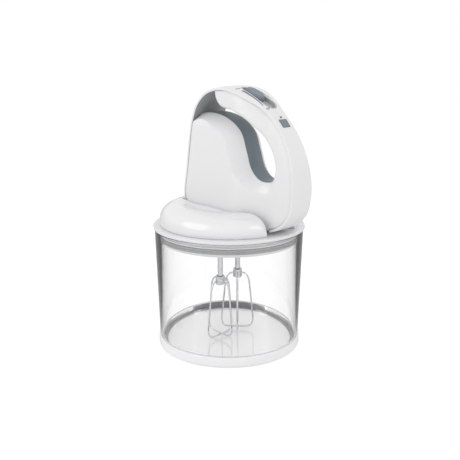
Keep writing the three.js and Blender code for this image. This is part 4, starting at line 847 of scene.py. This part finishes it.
class MIXER_OT_band(bpy.types.Operator):
    """White band round the mixer, with the thumb pad, the speed slot and the button's window"""
    bl_idname = "mixer.band"
    bl_label = "Outer band"

    def execute(self, context):
        body = context.scene.mixer.body
        form = MixerForm(body)
        edge = body.band_edge
        stations = 280
        first, last = form.top.length / 42, form.top.length * 41 / 42
        corner = [math.radians(a) for a in (0, 22, 45, 68, 90)]
        sections = []
        for i in range(stations + 1):
            here, out = form.along(mix(first, last, i / stations))
            half, crown = form.band_half(here), form.crown(here)
            left = [(-half + edge * (1 - math.cos(a)), -edge + edge * math.sin(a)) for a in corner]
            span = [(mix(-half + edge, half - edge, k / 22), 0.0) for k in range(1, 22)]
            right = [(-y, level) for y, level in reversed(left)]
            inner = [(mix(half - 0.3 * MM, -half + 0.3 * MM, k / 10), -body.band_wall) for k in range(11)]
            section = []
            for y, level in left + span + right + inner:
                lift = level + crown * (1 - (y / half) ** 4)
                section.append(Vector((here.x + out.x * lift, y, here.y + out.y * lift + SEAT)))
            sections.append(section)
        band = as_object(swept(sections), "band_moulding")
        carved(band, self.slot_cutter(SlotPlace(form)), *ButtonPlace(form).window((8 * MM, 6 * MM)))
        dressed(band, "mixer", "white_plastic", moulded_abs(body.shell), "outer_band", sharp=35)
        self.paint_inside_shade(band, painted_shade_abs(body.inside))
        return {"FINISHED"}

    def paint_inside_shade(self, band, material):
        """Gives the faces that look inwards a grey, matt material: painted shade on the band's inner face."""
        band.data.materials.append(material)
        centre = Vector((26 * MM, 0, SEAT + BODY_HEIGHT * MM / 2))
        for face in band.data.polygons:
            inwards = centre - face.center
            if face.normal.dot(Vector((inwards.x, 0, inwards.z)).normalized()) > 0.6:
                face.material_index = 1

    def slot_cutter(self, slot):
        """The speed slot with its rounded rim, which follows the thumb pad's surface."""
        rings = [[slot.place(a, b, -12 * MM) for a, b in slot.outline(GAP)]]
        for k in range(5):
            angle = math.radians(90 * k / 4)
            wider = GAP + slot.rim * (1 - math.cos(angle))
            deeper = slot.rim * (1 - math.sin(angle))
            rings.append([slot.on_surface(a, b, -deeper) for a, b in slot.outline(wider)])
        rings.append([slot.on_surface(a, b, 3 * MM) for a, b in slot.outline(GAP + slot.rim)])
        return swept(rings)


CAP_SHORTER, CAP_SHIFT = 3.3 * MM, 2.4 * MM  # slider cap: shorter than its solid, middle towards the heel
BUTTON_SHORTER, BUTTON_WIDER = 2.1 * MM, 2.2 * MM  # along the handle against the solid, across against along
LAMP_HOLE = 1.1 * MM


class SlotPlace:
    """Where the speed slot lies: its frame and its size, read from its tray."""

    bottom = 8.2 * MM  # the tray's underside below the slot's own plane
    rim = 0.8 * MM  # rounding of the band where the slot opens
    drop = 2.4 * MM  # how far the slider's cap stays below its solid's top

    def __init__(self, form):
        self.form = form
        self.plane = extent("slot_tray", SLOT_OUT)[0] + self.bottom
        start, end = extent("slot_tray", SLOT_ALONG)
        self.span = end - start
        self.middle = (start + end) / 2
        near, far = extent("slot_tray", ACROSS)
        self.width = far - near
        self.distance = form.top_at(self.place(0, 0, 0).x)

    def outline(self, wider=0.0):
        return stadium(self.span + 2 * wider, self.width + 2 * wider, 14)

    def place(self, along, across, out):
        return SLOT_ALONG * (self.middle + along) + ACROSS * across + SLOT_OUT * (self.plane + out)

    def on_surface(self, along, across, lift):
        """The place over a point of the slot's plane that lies so far above the band's surface."""
        distance = self.distance + along
        for _ in range(4):
            point = self.form.on_band(distance, across)
            distance += self.middle + along - point.dot(SLOT_ALONG)
        return self.place(along, across, point.dot(SLOT_OUT) - self.plane + lift)


class ButtonPlace:
    """Where the power button lies, with the lamp beside it."""

    def __init__(self, form):
        self.top = extent("power_button", -PRESS_IN)[1]
        start, end = extent("power_button", BUTTON_ALONG)
        self.middle = (start + end) / 2
        self.size = (end - start) - BUTTON_SHORTER
        self.width = self.size + BUTTON_WIDER
        lamp_low, lamp_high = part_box("led_lens")
        self.lamp_centre = (lamp_low + lamp_high) / 2
        out = form.along(form.top_at(self.lamp_centre.x))[1]
        self.lamp_out = Vector((out.x, 0, out.y))
        self.lamp_along = ACROSS.cross(self.lamp_out)
        self.lamp_top = extent("led_lens", self.lamp_out)[1]

    def window(self, below):
        """Cutters for the button's window and the lamp's hole, which reach so far under the surface."""
        square = rounded_square(self.size + 2 * GAP, self.width + 2 * GAP, 1.1 * MM)
        return (slab(square, [(-below[0], 1), (8 * MM, 1)], self.place),
                slab(circle(LAMP_HOLE, 24), [(-below[1], 1), (6 * MM, 1)], self.lamp))

    def place(self, along, across, out):
        return BUTTON_ALONG * (self.middle + along) + ACROSS * across - PRESS_IN * (self.top + out)

    def lamp(self, along, across, out):
        origin = self.lamp_centre - self.lamp_out * (self.lamp_centre.dot(self.lamp_out) - self.lamp_top)
        return origin + self.lamp_along * along + ACROSS * across + self.lamp_out * out


def rounded_square(size, width, radius, steps=5):
    points = []
    for sx, sy, start in ((1, 1, 0), (-1, 1, 90), (-1, -1, 180), (1, -1, 270)):
        for i in range(steps + 1):
            angle = math.radians(start + 90 * i / steps)
            points.append((sx * (size / 2 - radius) + radius * math.cos(angle),
                           sy * (width / 2 - radius) + radius * math.sin(angle)))
    return points


class MIXER_OT_shells(bpy.types.Operator):
    """The two side shells: motor housing, handle and the rounded finger opening"""
    bl_idname = "mixer.shells"
    bl_label = "Side shells"

    # position on the opening's side edge and on its middle edge, in control points, and the place of
    # the body's outline that they face, in millimetres
    PAIRS = [
        (1.0, 1.1, (-31, 111.5)), (3, 3, (-38, 76)), (4, 4, (-43, 38)), (5, 5, (-30, 2.7)), (6, 6, (8, 2.7)),
        (7, 7, (44, 2.7)), (8, 8, (80, 8.5)), (9, 9, (97.5, 46)), (10, 10, (93, 80)), (11, 11, (81.5, 102)),
        (12, 12, (69, 117.5)), (13, 13, (55, 129.5)), (14, 14, (33, 141)), (15, 15, (14, 146)),
        (16.67, 16.67, (2.4, 146.2)),
    ]

    def outline(self, form, inset):
        """The body's outline moved inwards, from the nose down, round the heel and over the top."""
        points = [p.copy() for p in form.top.points]
        under = [points[-1].lerp(points[0], i / 60) for i in range(1, 60)]
        ring = points + under
        count = len(ring)
        moved = []
        for i, here in enumerate(ring):
            forward = (ring[(i + 2) % count] - ring[i - 2]).normalized()
            moved.append(here + Vector((forward.y, -forward.x)) * inset)
        first, last = (Vector(self.PAIRS[i][2]) * MM for i in (0, -1))
        start = min(range(count // 2), key=lambda i: (moved[i] - first).length)
        end = min(range(count // 2), key=lambda i: (moved[i] - last).length)
        return Track([moved[start - k] for k in range(start + count - end + 1)])

    def execute(self, context):
        body = context.scene.mixer.body
        form = MixerForm(body)
        track = self.outline(form, body.band_wall + SEAM)
        sides, middles, places = zip(*self.PAIRS)
        reaches = [track.nearest(Vector(place) * MM) for place in places]
        stations = 300
        for side, sign in (("left", -1), ("right", 1)):
            sections = []
            for i in range(stations + 1):
                position = mix(sides[0], sides[-1], i / stations)
                k = int(clamp(bisect_right(sides, position) - 1, 0, len(sides) - 2))
                share = (position - sides[k]) / (sides[k + 1] - sides[k])
                inner = mix(middles[k], middles[k + 1], share)
                outer = track.at(self.eased(sides, reaches, position))
                groove = (body.strip_wall + GAP) if STRIP_FROM - 0.1 < inner < STRIP_TO + 0.1 else 0.0
                sections.append(self.section(form, outer, form.side.at(position), form.middle, inner, sign,
                                             groove))
            piece = as_object(swept(sections), f"shell_{side}")
            carved(piece, *self.pockets(SlotPlace(form), ButtonPlace(form)))
            dressed(piece, "mixer", "white_plastic", moulded_abs(body.shell), f"housing_{side}", sharp=40)
        return {"FINISHED"}

    def pockets(self, slot, button):
        """Room in the shells under the speed slot, the button and the lamp."""
        return (slab(slot.outline(GAP), [(-slot.bottom - 1 * MM, 1), (8 * MM, 1)], slot.place),
                *button.window((7 * MM, 5 * MM)))

    def eased(self, sides, reaches, position):
        """The reach along the outline for a position, on a curve without corners or turns back."""
        k = int(clamp(bisect_right(sides, position) - 1, 0, len(sides) - 2))
        slopes = []
        for i in (k, k + 1):
            before, after = max(i - 1, 0), min(i + 1, len(sides) - 1)
            slopes.append((reaches[after] - reaches[before]) / (sides[after] - sides[before]))
        width = sides[k + 1] - sides[k]
        t = (position - sides[k]) / width
        steepest = 3 * (reaches[k + 1] - reaches[k]) / width
        a, b = (min(slope, steepest) for slope in slopes)
        return ((2 * t ** 3 - 3 * t ** 2 + 1) * reaches[k] + (t ** 3 - 2 * t ** 2 + t) * width * a
                + (3 * t ** 2 - 2 * t ** 3) * reaches[k + 1] + (t ** 3 - t ** 2) * width * b)

    def section(self, form, outer, side, middle_edge, position, sign, groove):
        body = form.body
        span = (side - outer).length
        behind_nose = smooth((outer.x + 44 * MM) / (24 * MM))
        rim, recess = mix(0.25, 0.8, behind_nose) * MM, body.rim_recess * mix(0.2, 1, behind_nose)
        middle = middle_edge.at(position)
        forward = (middle_edge.at(position + 0.03) - middle_edge.at(position - 0.03)).normalized()
        inwards = Vector((forward.y, -forward.x)) * groove

        def half(point, distance):
            rise = math.sin(min(distance / ROUNDED_EDGE, 1) * math.pi / 2)
            return mix(form.band_half(point) - recess - rim, form.side_half(point), rise)

        points = [(outer, GAP / 2), (outer, half(outer, 0) - 0.7 * MM)]
        inward = (side - outer).normalized() if span > 1e-6 else Vector((0, 0))
        points.append((outer + inward * min(0.2 * MM, span * 0.1), half(outer, 0) - 0.2 * MM))
        for share in (0.02, 0.045, 0.075, 0.11, 0.15, 0.2, 0.26, 0.33, 0.42, 0.52, 0.62, 0.72, 0.82, 0.91,
                      1.0):
            here = outer.lerp(side, share)
            points.append((here, half(here, span * share)))
        full = half(side, span)
        start = body.strip_half + GAP
        power = mix(MOUTH_CHAMFER, MOUTH_ROUND, smooth((position - STRIP_TO + 1) / 2))
        for k in range(1, 15):
            angle = math.radians(90 * (1 - k / 14))
            drift = 1 - max(math.cos(angle), 0.0) ** power
            rise = math.sin(angle) ** power
            points.append((middle.lerp(side, drift), mix(start, full, rise)))
        points.append((middle + inwards, start))
        for y in (8 * MM, 4 * MM, GAP / 2):
            points.append((middle + inwards, y))
        return [Vector((p.x, sign * y, p.y + SEAT)) for p, y in points]


class MIXER_OT_strip(bpy.types.Operator):
    """Soft grey grip strip over the back of the motor housing"""
    bl_idname = "mixer.strip"
    bl_label = "Grip strip"

    def execute(self, context):
        body = context.scene.mixer.body
        form = MixerForm(body)
        stations = 150
        sections = []
        for i in range(stations + 1):
            position = mix(STRIP_FROM, STRIP_TO, i / stations)
            here = form.middle.at(position)
            ahead, behind = form.middle.at(position + 0.03), form.middle.at(position - 0.03)
            forward = (ahead - behind).normalized()
            out = Vector((-forward.y, forward.x))
            half, edge = body.strip_half, 0.5 * MM
            outline = [(-half, -body.strip_wall), (-half, -edge), (-half + 0.15 * MM, -0.15 * MM),
                       (-half + edge, 0)]
            outline += [(mix(-half + edge, half - edge, k / 10), 0.25 * MM * math.sin(math.pi * k / 10))
                        for k in range(1, 10)]
            outline += [(-y, z) for y, z in reversed(outline[:4])]
            sections.append([Vector((here.x + out.x * z, y, here.y + out.y * z + SEAT)) for y, z in outline])
        strip = as_object(swept(sections), "grip_moulding")
        dressed(strip, "mixer", "slate_grip", soft_touch(body.grip), "grip_strip")
        return {"FINISHED"}


# ---------------------------------------------------------------- controls

class MIXER_OT_controls(bpy.types.Operator):
    """Speed slider in its slot, power button, lamp and the printed scale"""
    bl_idname = "mixer.controls"
    bl_label = "Controls"

    def execute(self, context):
        body = context.scene.mixer.body
        form = MixerForm(body)
        slot, button = SlotPlace(form), ButtonPlace(form)
        self.make_tray(slot, body)
        self.make_knob(slot, body)
        self.make_button(button, body)
        self.make_lamp(button)
        self.make_scale(form, body)
        return {"FINISHED"}

    def make_tray(self, slot, body):
        wall, recess, depth = 1.1 * MM, 0.6 * MM, 7 * MM
        rings = [[slot.place(a, b, -slot.bottom) for a, b in slot.outline()]]
        for wider, lift in ((0, -recess - 0.2 * MM), (-0.2 * MM, -recess), (-wall + 0.2 * MM, -recess),
                            (-wall, -recess - 0.2 * MM)):
            rings.append([slot.on_surface(a, b, lift) for a, b in slot.outline(wider)])
        rings.append([slot.place(a, b, -depth) for a, b in slot.outline(-wall)])
        piece = as_object(swept(rings), "slot_lining")
        # painted shade: the grey of the slot's tray stands for the shade in the slot
        dressed(piece, "mixer", "pale_plastic", moulded_abs(body.lining_painted_shade), "slot_tray")

    def make_knob(self, slot, body):
        start, end = extent("speed_knob", SLOT_ALONG)
        near, far = extent("speed_knob", ACROSS)
        low, high = extent("speed_knob", SLOT_OUT)
        span, width, middle = end - start, far - near, (start + end) / 2 - slot.middle
        span, middle = span - CAP_SHORTER, middle + CAP_SHIFT
        bottom, top, edge = low - slot.plane, high - slot.plane - slot.drop, -2.2 * MM - slot.drop
        levels = [(bottom, 1.0), (edge, 1.0)]
        for k in range(1, 9):
            angle = math.radians(90 * k / 8)
            levels.append((mix(edge, top, math.sin(angle)), 0.7 + 0.3 * math.cos(angle)))
        levels += [(top, 0.5), (top, 0.2)]
        outline = stadium(span, width, 14)
        rings = [[slot.place(middle + a * (0.35 + 0.65 * share), b * share, level) for a, b in outline]
                 for level, share in levels]
        piece = as_object(swept(rings), "slider_cap")
        dressed(piece, "speed_knob", "slate_grip", soft_touch(body.grip), "speed_knob")

    def make_button(self, button, body):
        outline = rounded_square(button.size, button.width, 1 * MM)
        levels = [(-4.5 * MM, 1.0), (-0.5 * MM, 1.0), (-0.15 * MM, 0.975), (0, 0.92), (-0.15 * MM, 0.6)]
        piece = as_object(slab(outline, levels, button.place), "button_cap")
        dressed(piece, "power_button", "slate_grip", soft_touch(body.grip), "power_button")

    def make_lamp(self, button):
        outline = circle(0.9 * MM, 24)
        levels = [(-4 * MM, 1.0), (-0.3 * MM, 1.0), (-0.1 * MM, 0.9), (0, 0.6)]
        piece = as_object(slab(outline, levels, button.lamp), "lamp_lens")
        smoky = surface("smoked_lens", {"IOR": 1.49}, (linear("#6A6E74"), linear("#747980")),
                        2 * MM, 1 * MM, 0.002 * MM, (0.08, 0.12))
        dressed(piece, "mixer", "black_plastic", smoky, "led_lens")

    def make_scale(self, form, body):
        """Wedge beside the slot and the words at its two ends, laid on the band."""

        def on_band(along, across, out):
            return form.on_band(form.top_at(along), across, out)

        thick, thin = (31.0, -12.2, -16.4), (57.0, -11.8, -12.8)  # x, and the edges beside the slot
        steps = 24
        sections = []
        for i in range(steps + 1):
            along, near, far = (mix(a, b, i / steps) * MM for a, b in zip(thick, thin))
            across = [mix(near, far, k / 5) for k in range(6)]
            sections.append([on_band(along, y, INK) for y in across]
                            + [on_band(along, y, -0.3 * MM) for y in reversed(across)])
        wedge = as_object(swept(sections), "scale_wedge")
        dressed(wedge, "mixer", "slate_grip", printed_ink(body.ink))
        for word, along, across in (("MAX", 25.5 * MM, -14.5 * MM), ("OFF", 61 * MM, -9 * MM)):
            piece = self.make_word(word, form.top_at(along), across, form)
            dressed(piece, "mixer", "slate_grip", printed_ink(body.ink))

    def make_word(self, word, centre, across, form):
        curve = bpy.data.curves.new(f"word_{word}", "FONT")
        curve.body = word
        curve.size = 3.4 * MM
        curve.align_x, curve.align_y = "CENTER", "CENTER"
        curve.extrude = 0.02 * MM
        text = bpy.data.objects.new(f"word_{word}", curve)
        bpy.context.scene.collection.objects.link(text)
        seen = text.evaluated_get(bpy.context.evaluated_depsgraph_get())
        data = bpy.data.meshes.new_from_object(seen)
        bpy.data.objects.remove(text)
        bpy.data.curves.remove(curve)
        for vertex in data.vertices:
            x, y, z = vertex.co
            vertex.co = form.on_band(centre - y, across + x, z + INK)
        piece = bpy.data.objects.new(f"scale_{word}", data)
        bpy.context.scene.collection.objects.link(piece)
        return piece


# ---------------------------------------------------------------- beaters

class MIXER_OT_beaters(bpy.types.Operator):
    """Chrome shafts, collars and bent wire loops of both beaters"""
    bl_idname = "mixer.beaters"
    bl_label = "Beaters"

    # half a loop from the collar down to its lowest point: radius and height in millimetres
    LOOP = [(0, 72.5), (8.2, 72.3), (11.2, 69.9), (13.7, 64.5), (15, 55.5), (17.9, 27.0), (18.6, 18.0),
            (16.7, 12.2), (11.6, 9.9), (0, 9.6)]
    REST_TURN = 0.733  # how far the loops stand turned at rest, in radians

    def execute(self, context):
        settings = context.scene.mixer.beaters
        plating = chrome_plate(settings.plating)
        for side, y in BEATER_Y.items():
            turn = self.REST_TURN + (math.pi / 4 if side == "left" else 0)
            shift = Vector((0, y, 0))
            self.make_shaft(side, shift, settings, plating)
            self.make_collar(side, shift, turn, settings, plating)
            self.make_wires(side, shift, turn, settings, plating)
        return {"FINISHED"}

    def make_shaft(self, side, shift, settings, plating):
        low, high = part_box(f"beater_shaft_{side}")
        rod = turned(softened([(0, low.z, 0), (settings.shaft, low.z, 0.2 * MM),
                               (settings.shaft, high.z, 0.8 * MM), (0, high.z, 0)]), 40, closed=False)
        bmesh.ops.translate(rod, verts=rod.verts, vec=shift)
        dressed(as_object(rod, f"shaft_{side}"), f"beater_{side}", "chrome", plating, f"beater_shaft_{side}")

    def make_collar(self, side, shift, turn, settings, plating):
        low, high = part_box(f"beater_collar_{side}")
        radius = high.x
        hole = settings.shaft + GAP
        ring = turned(softened([
            (0, low.z, 0), (radius, low.z, 1.5 * MM), (radius, high.z, 0.4 * MM),
            (radius - 1.1 * MM, high.z, 0.3 * MM), (radius - 1.3 * MM, high.z - 2.6 * MM, 0.3 * MM),
            (hole, high.z - 2.6 * MM, 0.3 * MM), (hole, low.z + 1.7 * MM, 0), (0, low.z + 1.7 * MM, 0),
        ]), 48, closed=False)
        bmesh.ops.translate(ring, verts=ring.verts, vec=shift)
        windows = []
        for quarter in range(4):
            angle = turn + math.radians(45 + 90 * quarter)
            ray = Vector((math.cos(angle), math.sin(angle), 0))
            tangent = Vector((-math.sin(angle), math.cos(angle), 0))
            outline = [(r * MM, w * MM) for r, w in ((3.5, -1.5), (7, -1.5), (7, 1.5), (3.5, 1.5))]
            windows.append(swept([[shift + ray * r + tangent * w + Vector((0, 0, z)) for r, w in outline]
                                  for z in (low.z + 2.4 * MM, high.z - 1.3 * MM)]))
        collar = carved(as_object(ring, f"collar_{side}"), *windows)
        dressed(collar, f"beater_{side}", "chrome", plating, f"beater_collar_{side}")

    def make_wires(self, side, shift, turn, settings, plating):
        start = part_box(f"beater_collar_{side}")[1].x + GAP
        crossing = 1.7 * settings.wire
        loops = [self.loop(shift, turn + quarter * math.pi / 2, start, quarter * crossing, settings.wire)
                 for quarter in (0, 1)]
        wires = as_object(joined(*loops), f"wires_{side}")
        dressed(wires, f"beater_{side}", "chrome", plating, f"beater_wires_{side}")

    def loop(self, shift, turn, start, lift, radius):
        half = [(start / MM, self.LOOP[0][1])] + self.LOOP[1:]
        path = half + [(-r, z) for r, z in reversed(half[:-1])]
        spline = Spline(path)
        track = Track([spline.at(i / 14) for i in range(spline.spans * 14 + 1)])
        sections = []
        steps = 150
        for i in range(steps + 1):
            distance = track.length * i / steps
            here = track.at(distance)
            forward = (track.at(min(distance + 0.3 * MM, track.length))
                       - track.at(max(distance - 0.3 * MM, 0))).normalized()
            normal = Vector((-forward.y, forward.x))
            ring = []
            for a, b in circle(radius, 12):
                r, z = here.x + normal.x * a, here.y + normal.y * a
                ring.append(Vector((r * math.cos(turn) - b * math.sin(turn),
                                    r * math.sin(turn) + b * math.cos(turn), z + lift)) + shift)
            sections.append(ring)
        return swept(sections)


# ---------------------------------------------------------------- underside and inner pieces

class MIXER_OT_inner(bpy.types.Operator):
    """Finishes of the CAD pieces that stay: the underside plate and everything inside"""
    bl_idname = "mixer.inner"
    bl_label = "Inner finishes"

    def execute(self, context):
        for name, (hex_colour, patch, grain, depth, roughness, sockets) in INNER_FINISHES.items():
            tone = linear(hex_colour)
            material = surface(name, sockets, (shade(tone, 0.92), shade(tone, 1.05)),
                               patch * MM, grain * MM, depth * MM, roughness)
            for node in INNER_PIECES[name]:
                self.paint(frame["nodes"][node], material)
        self.paint(frame["nodes"]["underside_plate"], moulded_abs(context.scene.mixer.body.shell))
        return {"FINISHED"}

    def paint(self, node, material):
        node.data.materials.clear()
        node.data.materials.append(material)


# ---------------------------------------------------------------- stage

ROOM_FRONT = (0.669, -0.743, 0.0)  # level direction from the object to the camera
ROOM_BACK_EDGE, ROOM_FRONT_EDGE = -0.1, 0.75  # the belt is full below the first facing and gone at the second
BELT_FROM, BELT_TO = 0.03, 0.25  # heights of a level view ray between which the belt fades
AIM = Vector((0, 0, 0.14))  # where the lamps point
FLOOR_WHITE, FLOOR_RETURN = 1.02, 0.93  # white for the eye, and the share of the world's light it gives back

class MIXER_OT_stage(bpy.types.Operator):
    """White floor, soft light and the camera"""
    bl_idname = "mixer.stage"
    bl_label = "Stage"

    def execute(self, context):
        stage = context.scene.mixer.stage
        self.make_floor(stage)
        self.make_world(context.scene, stage)
        self.make_lamp("key_light", (-0.35, -1.15, 0.75), 1.1, stage.key)
        self.make_lamp("fill_light", (1.2, 0.15, 0.8), 0.9, stage.fill)
        self.make_camera(context.scene)
        context.scene.view_settings.view_transform = "Standard"
        return {"FINISHED"}

    def make_floor(self, stage):
        mesh = bmesh.new()
        bmesh.ops.create_grid(mesh, x_segments=1, y_segments=1, size=4.0)
        floor = as_object(mesh, "floor")
        material = bpy.data.materials.new("white_sweep")
        material.use_nodes = True
        tree = material.node_tree
        tree.nodes.clear()
        ray = add(tree, "ShaderNodeLightPath")
        paper = add(tree, "ShaderNodeBsdfDiffuse", {"Color": tuple(stage.floor)})
        shaded = add(tree, "ShaderNodeBsdfDiffuse", {"Color": shade(tuple(stage.floor), stage.shadow)})
        white = FLOOR_WHITE - stage.shadow * stage.ambient * FLOOR_RETURN
        glow = add(tree, "ShaderNodeEmission", {"Color": (1, 1, 1, 1), "Strength": white})
        lit = add(tree, "ShaderNodeAddShader")
        tree.links.new(shaded.outputs["BSDF"], lit.inputs[0])
        tree.links.new(glow.outputs["Emission"], lit.inputs[1])
        mixed = add(tree, "ShaderNodeMixShader", {0: self.seen_as_background(tree, ray)})
        tree.links.new(paper.outputs["BSDF"], mixed.inputs[1])
        tree.links.new(lit.outputs["Shader"], mixed.inputs[2])
        place = add(tree, "ShaderNodeTexCoord").outputs["Object"]
        direction = add(tree, "ShaderNodeVectorMath", {0: place}, operation="NORMALIZE").outputs["Vector"]
        mirrored = add(tree, "ShaderNodeEmission", {"Color": (1, 1, 1, 1),
                                                    "Strength": self.walls(tree, direction, stage)})
        whole = add(tree, "ShaderNodeMixShader", {0: self.reflected(tree, ray)})
        tree.links.new(mixed.outputs["Shader"], whole.inputs[1])
        tree.links.new(mirrored.outputs["Emission"], whole.inputs[2])
        add(tree, "ShaderNodeOutputMaterial", {"Surface": whole.outputs["Shader"]})
        floor.data.materials.append(material)

    def seen_as_background(self, tree, ray):
        """1 for the rays that see the white background, 0 for those that only carry light."""
        seen = {0: ray.outputs["Is Camera Ray"], 1: ray.outputs["Is Transmission Ray"]}
        return add(tree, "ShaderNodeMath", seen, operation="MAXIMUM").outputs[0]

    def reflected(self, tree, ray):
        """1 for the rays that show a reflection, 0 for all others."""
        mirrored = add(tree, "ShaderNodeMath", {0: ray.outputs["Glossy Depth"], 1: 1.0},
                       operation="MINIMUM").outputs[0]
        scattered = add(tree, "ShaderNodeMath", {0: ray.outputs["Diffuse Depth"], 1: 1.0},
                        operation="MINIMUM").outputs[0]
        return add(tree, "ShaderNodeMath", {0: mirrored, 1: scattered}, operation="SUBTRACT",
                   use_clamp=True).outputs[0]

    def walls(self, tree, direction, stage):
        """Brightness of the room in reflections: white before the object, dark behind it."""
        facing = add(tree, "ShaderNodeVectorMath", {0: direction, 1: ROOM_FRONT},
                     operation="DOT_PRODUCT").outputs["Value"]
        return add(tree, "ShaderNodeMapRange", {"Value": facing, "From Min": ROOM_BACK_EDGE,
                                                "From Max": ROOM_FRONT_EDGE,
                                                "To Min": stage.belt, "To Max": 1.0},
                   interpolation_type="SMOOTHSTEP").outputs["Result"]

    def make_world(self, scene, stage):
        """White all round for the eye and through the bowl; gloss sees white walls with a grey belt."""
        world = bpy.data.worlds.new("soft_white_room")
        scene.world = world
        world.use_nodes = True
        tree = world.node_tree
        tree.nodes.clear()
        ray = add(tree, "ShaderNodeLightPath")
        direction = add(tree, "ShaderNodeTexCoord").outputs["Generated"]
        height = add(tree, "ShaderNodeSeparateXYZ", {"Vector": direction}).outputs["Z"]
        level = add(tree, "ShaderNodeMath", {0: height}, operation="ABSOLUTE").outputs[0]
        belt = self.walls(tree, direction, stage)
        walls = add(tree, "ShaderNodeMapRange", {"Value": level, "From Min": BELT_FROM, "From Max": BELT_TO,
                                                 "To Min": belt, "To Max": 1.0},
                    interpolation_type="SMOOTHSTEP").outputs["Result"]
        backdrop = add(tree, "ShaderNodeMix", {"Factor": self.seen_as_background(tree, ray),
                                               "A": stage.ambient, "B": 1.0}).outputs["Result"]
        strength = add(tree, "ShaderNodeMix", {"Factor": self.reflected(tree, ray), "A": backdrop,
                                               "B": walls}).outputs["Result"]
        light = add(tree, "ShaderNodeBackground", {"Color": (1, 1, 1, 1), "Strength": strength})
        add(tree, "ShaderNodeOutputWorld", {"Surface": light.outputs["Background"]})

    def make_lamp(self, name, place, size, power):
        data = bpy.data.lights.new(name, "AREA")
        data.shape, data.size, data.energy = "DISK", size, power
        lamp = bpy.data.objects.new(name, data)
        lamp.location = place
        lamp.rotation_euler = (AIM - Vector(place)).to_track_quat("-Z", "Y").to_euler()
        bpy.context.scene.collection.objects.link(lamp)

    def make_camera(self, scene):
        data = bpy.data.cameras.new("camera")
        data.sensor_width = 36.0
        data.lens = 54.06
        data.shift_x = 1 / 460
        camera = bpy.data.objects.new("camera", data)
        camera.location = (0.5070, -0.5631, 0.3214)
        camera.rotation_euler = (math.radians(90 - 14.05), 0, math.radians(42))
        bpy.context.scene.collection.objects.link(camera)
        scene.camera = camera


# ---------------------------------------------------------------- panel and registration

PIECE_OPERATORS = (MIXER_OT_tray, MIXER_OT_bowl, MIXER_OT_lid, MIXER_OT_dome, MIXER_OT_band, MIXER_OT_shells,
                   MIXER_OT_strip, MIXER_OT_controls, MIXER_OT_beaters, MIXER_OT_inner, MIXER_OT_stage)


class MIXER_PT_panel(bpy.types.Panel):
    """Sidebar panel with the mixer's pieces and settings"""
    bl_idname = "MIXER_PT_panel"
    bl_label = "Hand mixer"
    bl_space_type = "VIEW_3D"
    bl_region_type = "UI"
    bl_category = "Mixer"

    def draw(self, context):
        for operator in PIECE_OPERATORS:
            self.layout.operator(operator.bl_idname)
        settings = context.scene.mixer
        for group in (settings.body, settings.bowl, settings.dome, settings.beaters, settings.stage):
            box = self.layout.box()
            for name in group.__annotations__:
                box.prop(group, name)


CLASSES = (MixerBodySettings, BowlSettings, DomeSettings, BeaterSettings, StageSettings, MixerSettings,
           *PIECE_OPERATORS, MIXER_PT_panel)


def register():
    for item in CLASSES:
        bpy.utils.register_class(item)
    bpy.types.Scene.mixer = PointerProperty(type=MixerSettings)


def unregister():
    del bpy.types.Scene.mixer
    for item in reversed(CLASSES):
        bpy.utils.unregister_class(item)


def main():
    register()
    bpy.ops.mixer.tray()
    bpy.ops.mixer.bowl()
    bpy.ops.mixer.lid()
    bpy.ops.mixer.dome()
    bpy.ops.mixer.band()
    bpy.ops.mixer.shells()
    bpy.ops.mixer.strip()
    bpy.ops.mixer.controls()
    bpy.ops.mixer.beaters()
    bpy.ops.mixer.inner()
    bpy.ops.mixer.stage()


if __name__ == "__main__":
    main()
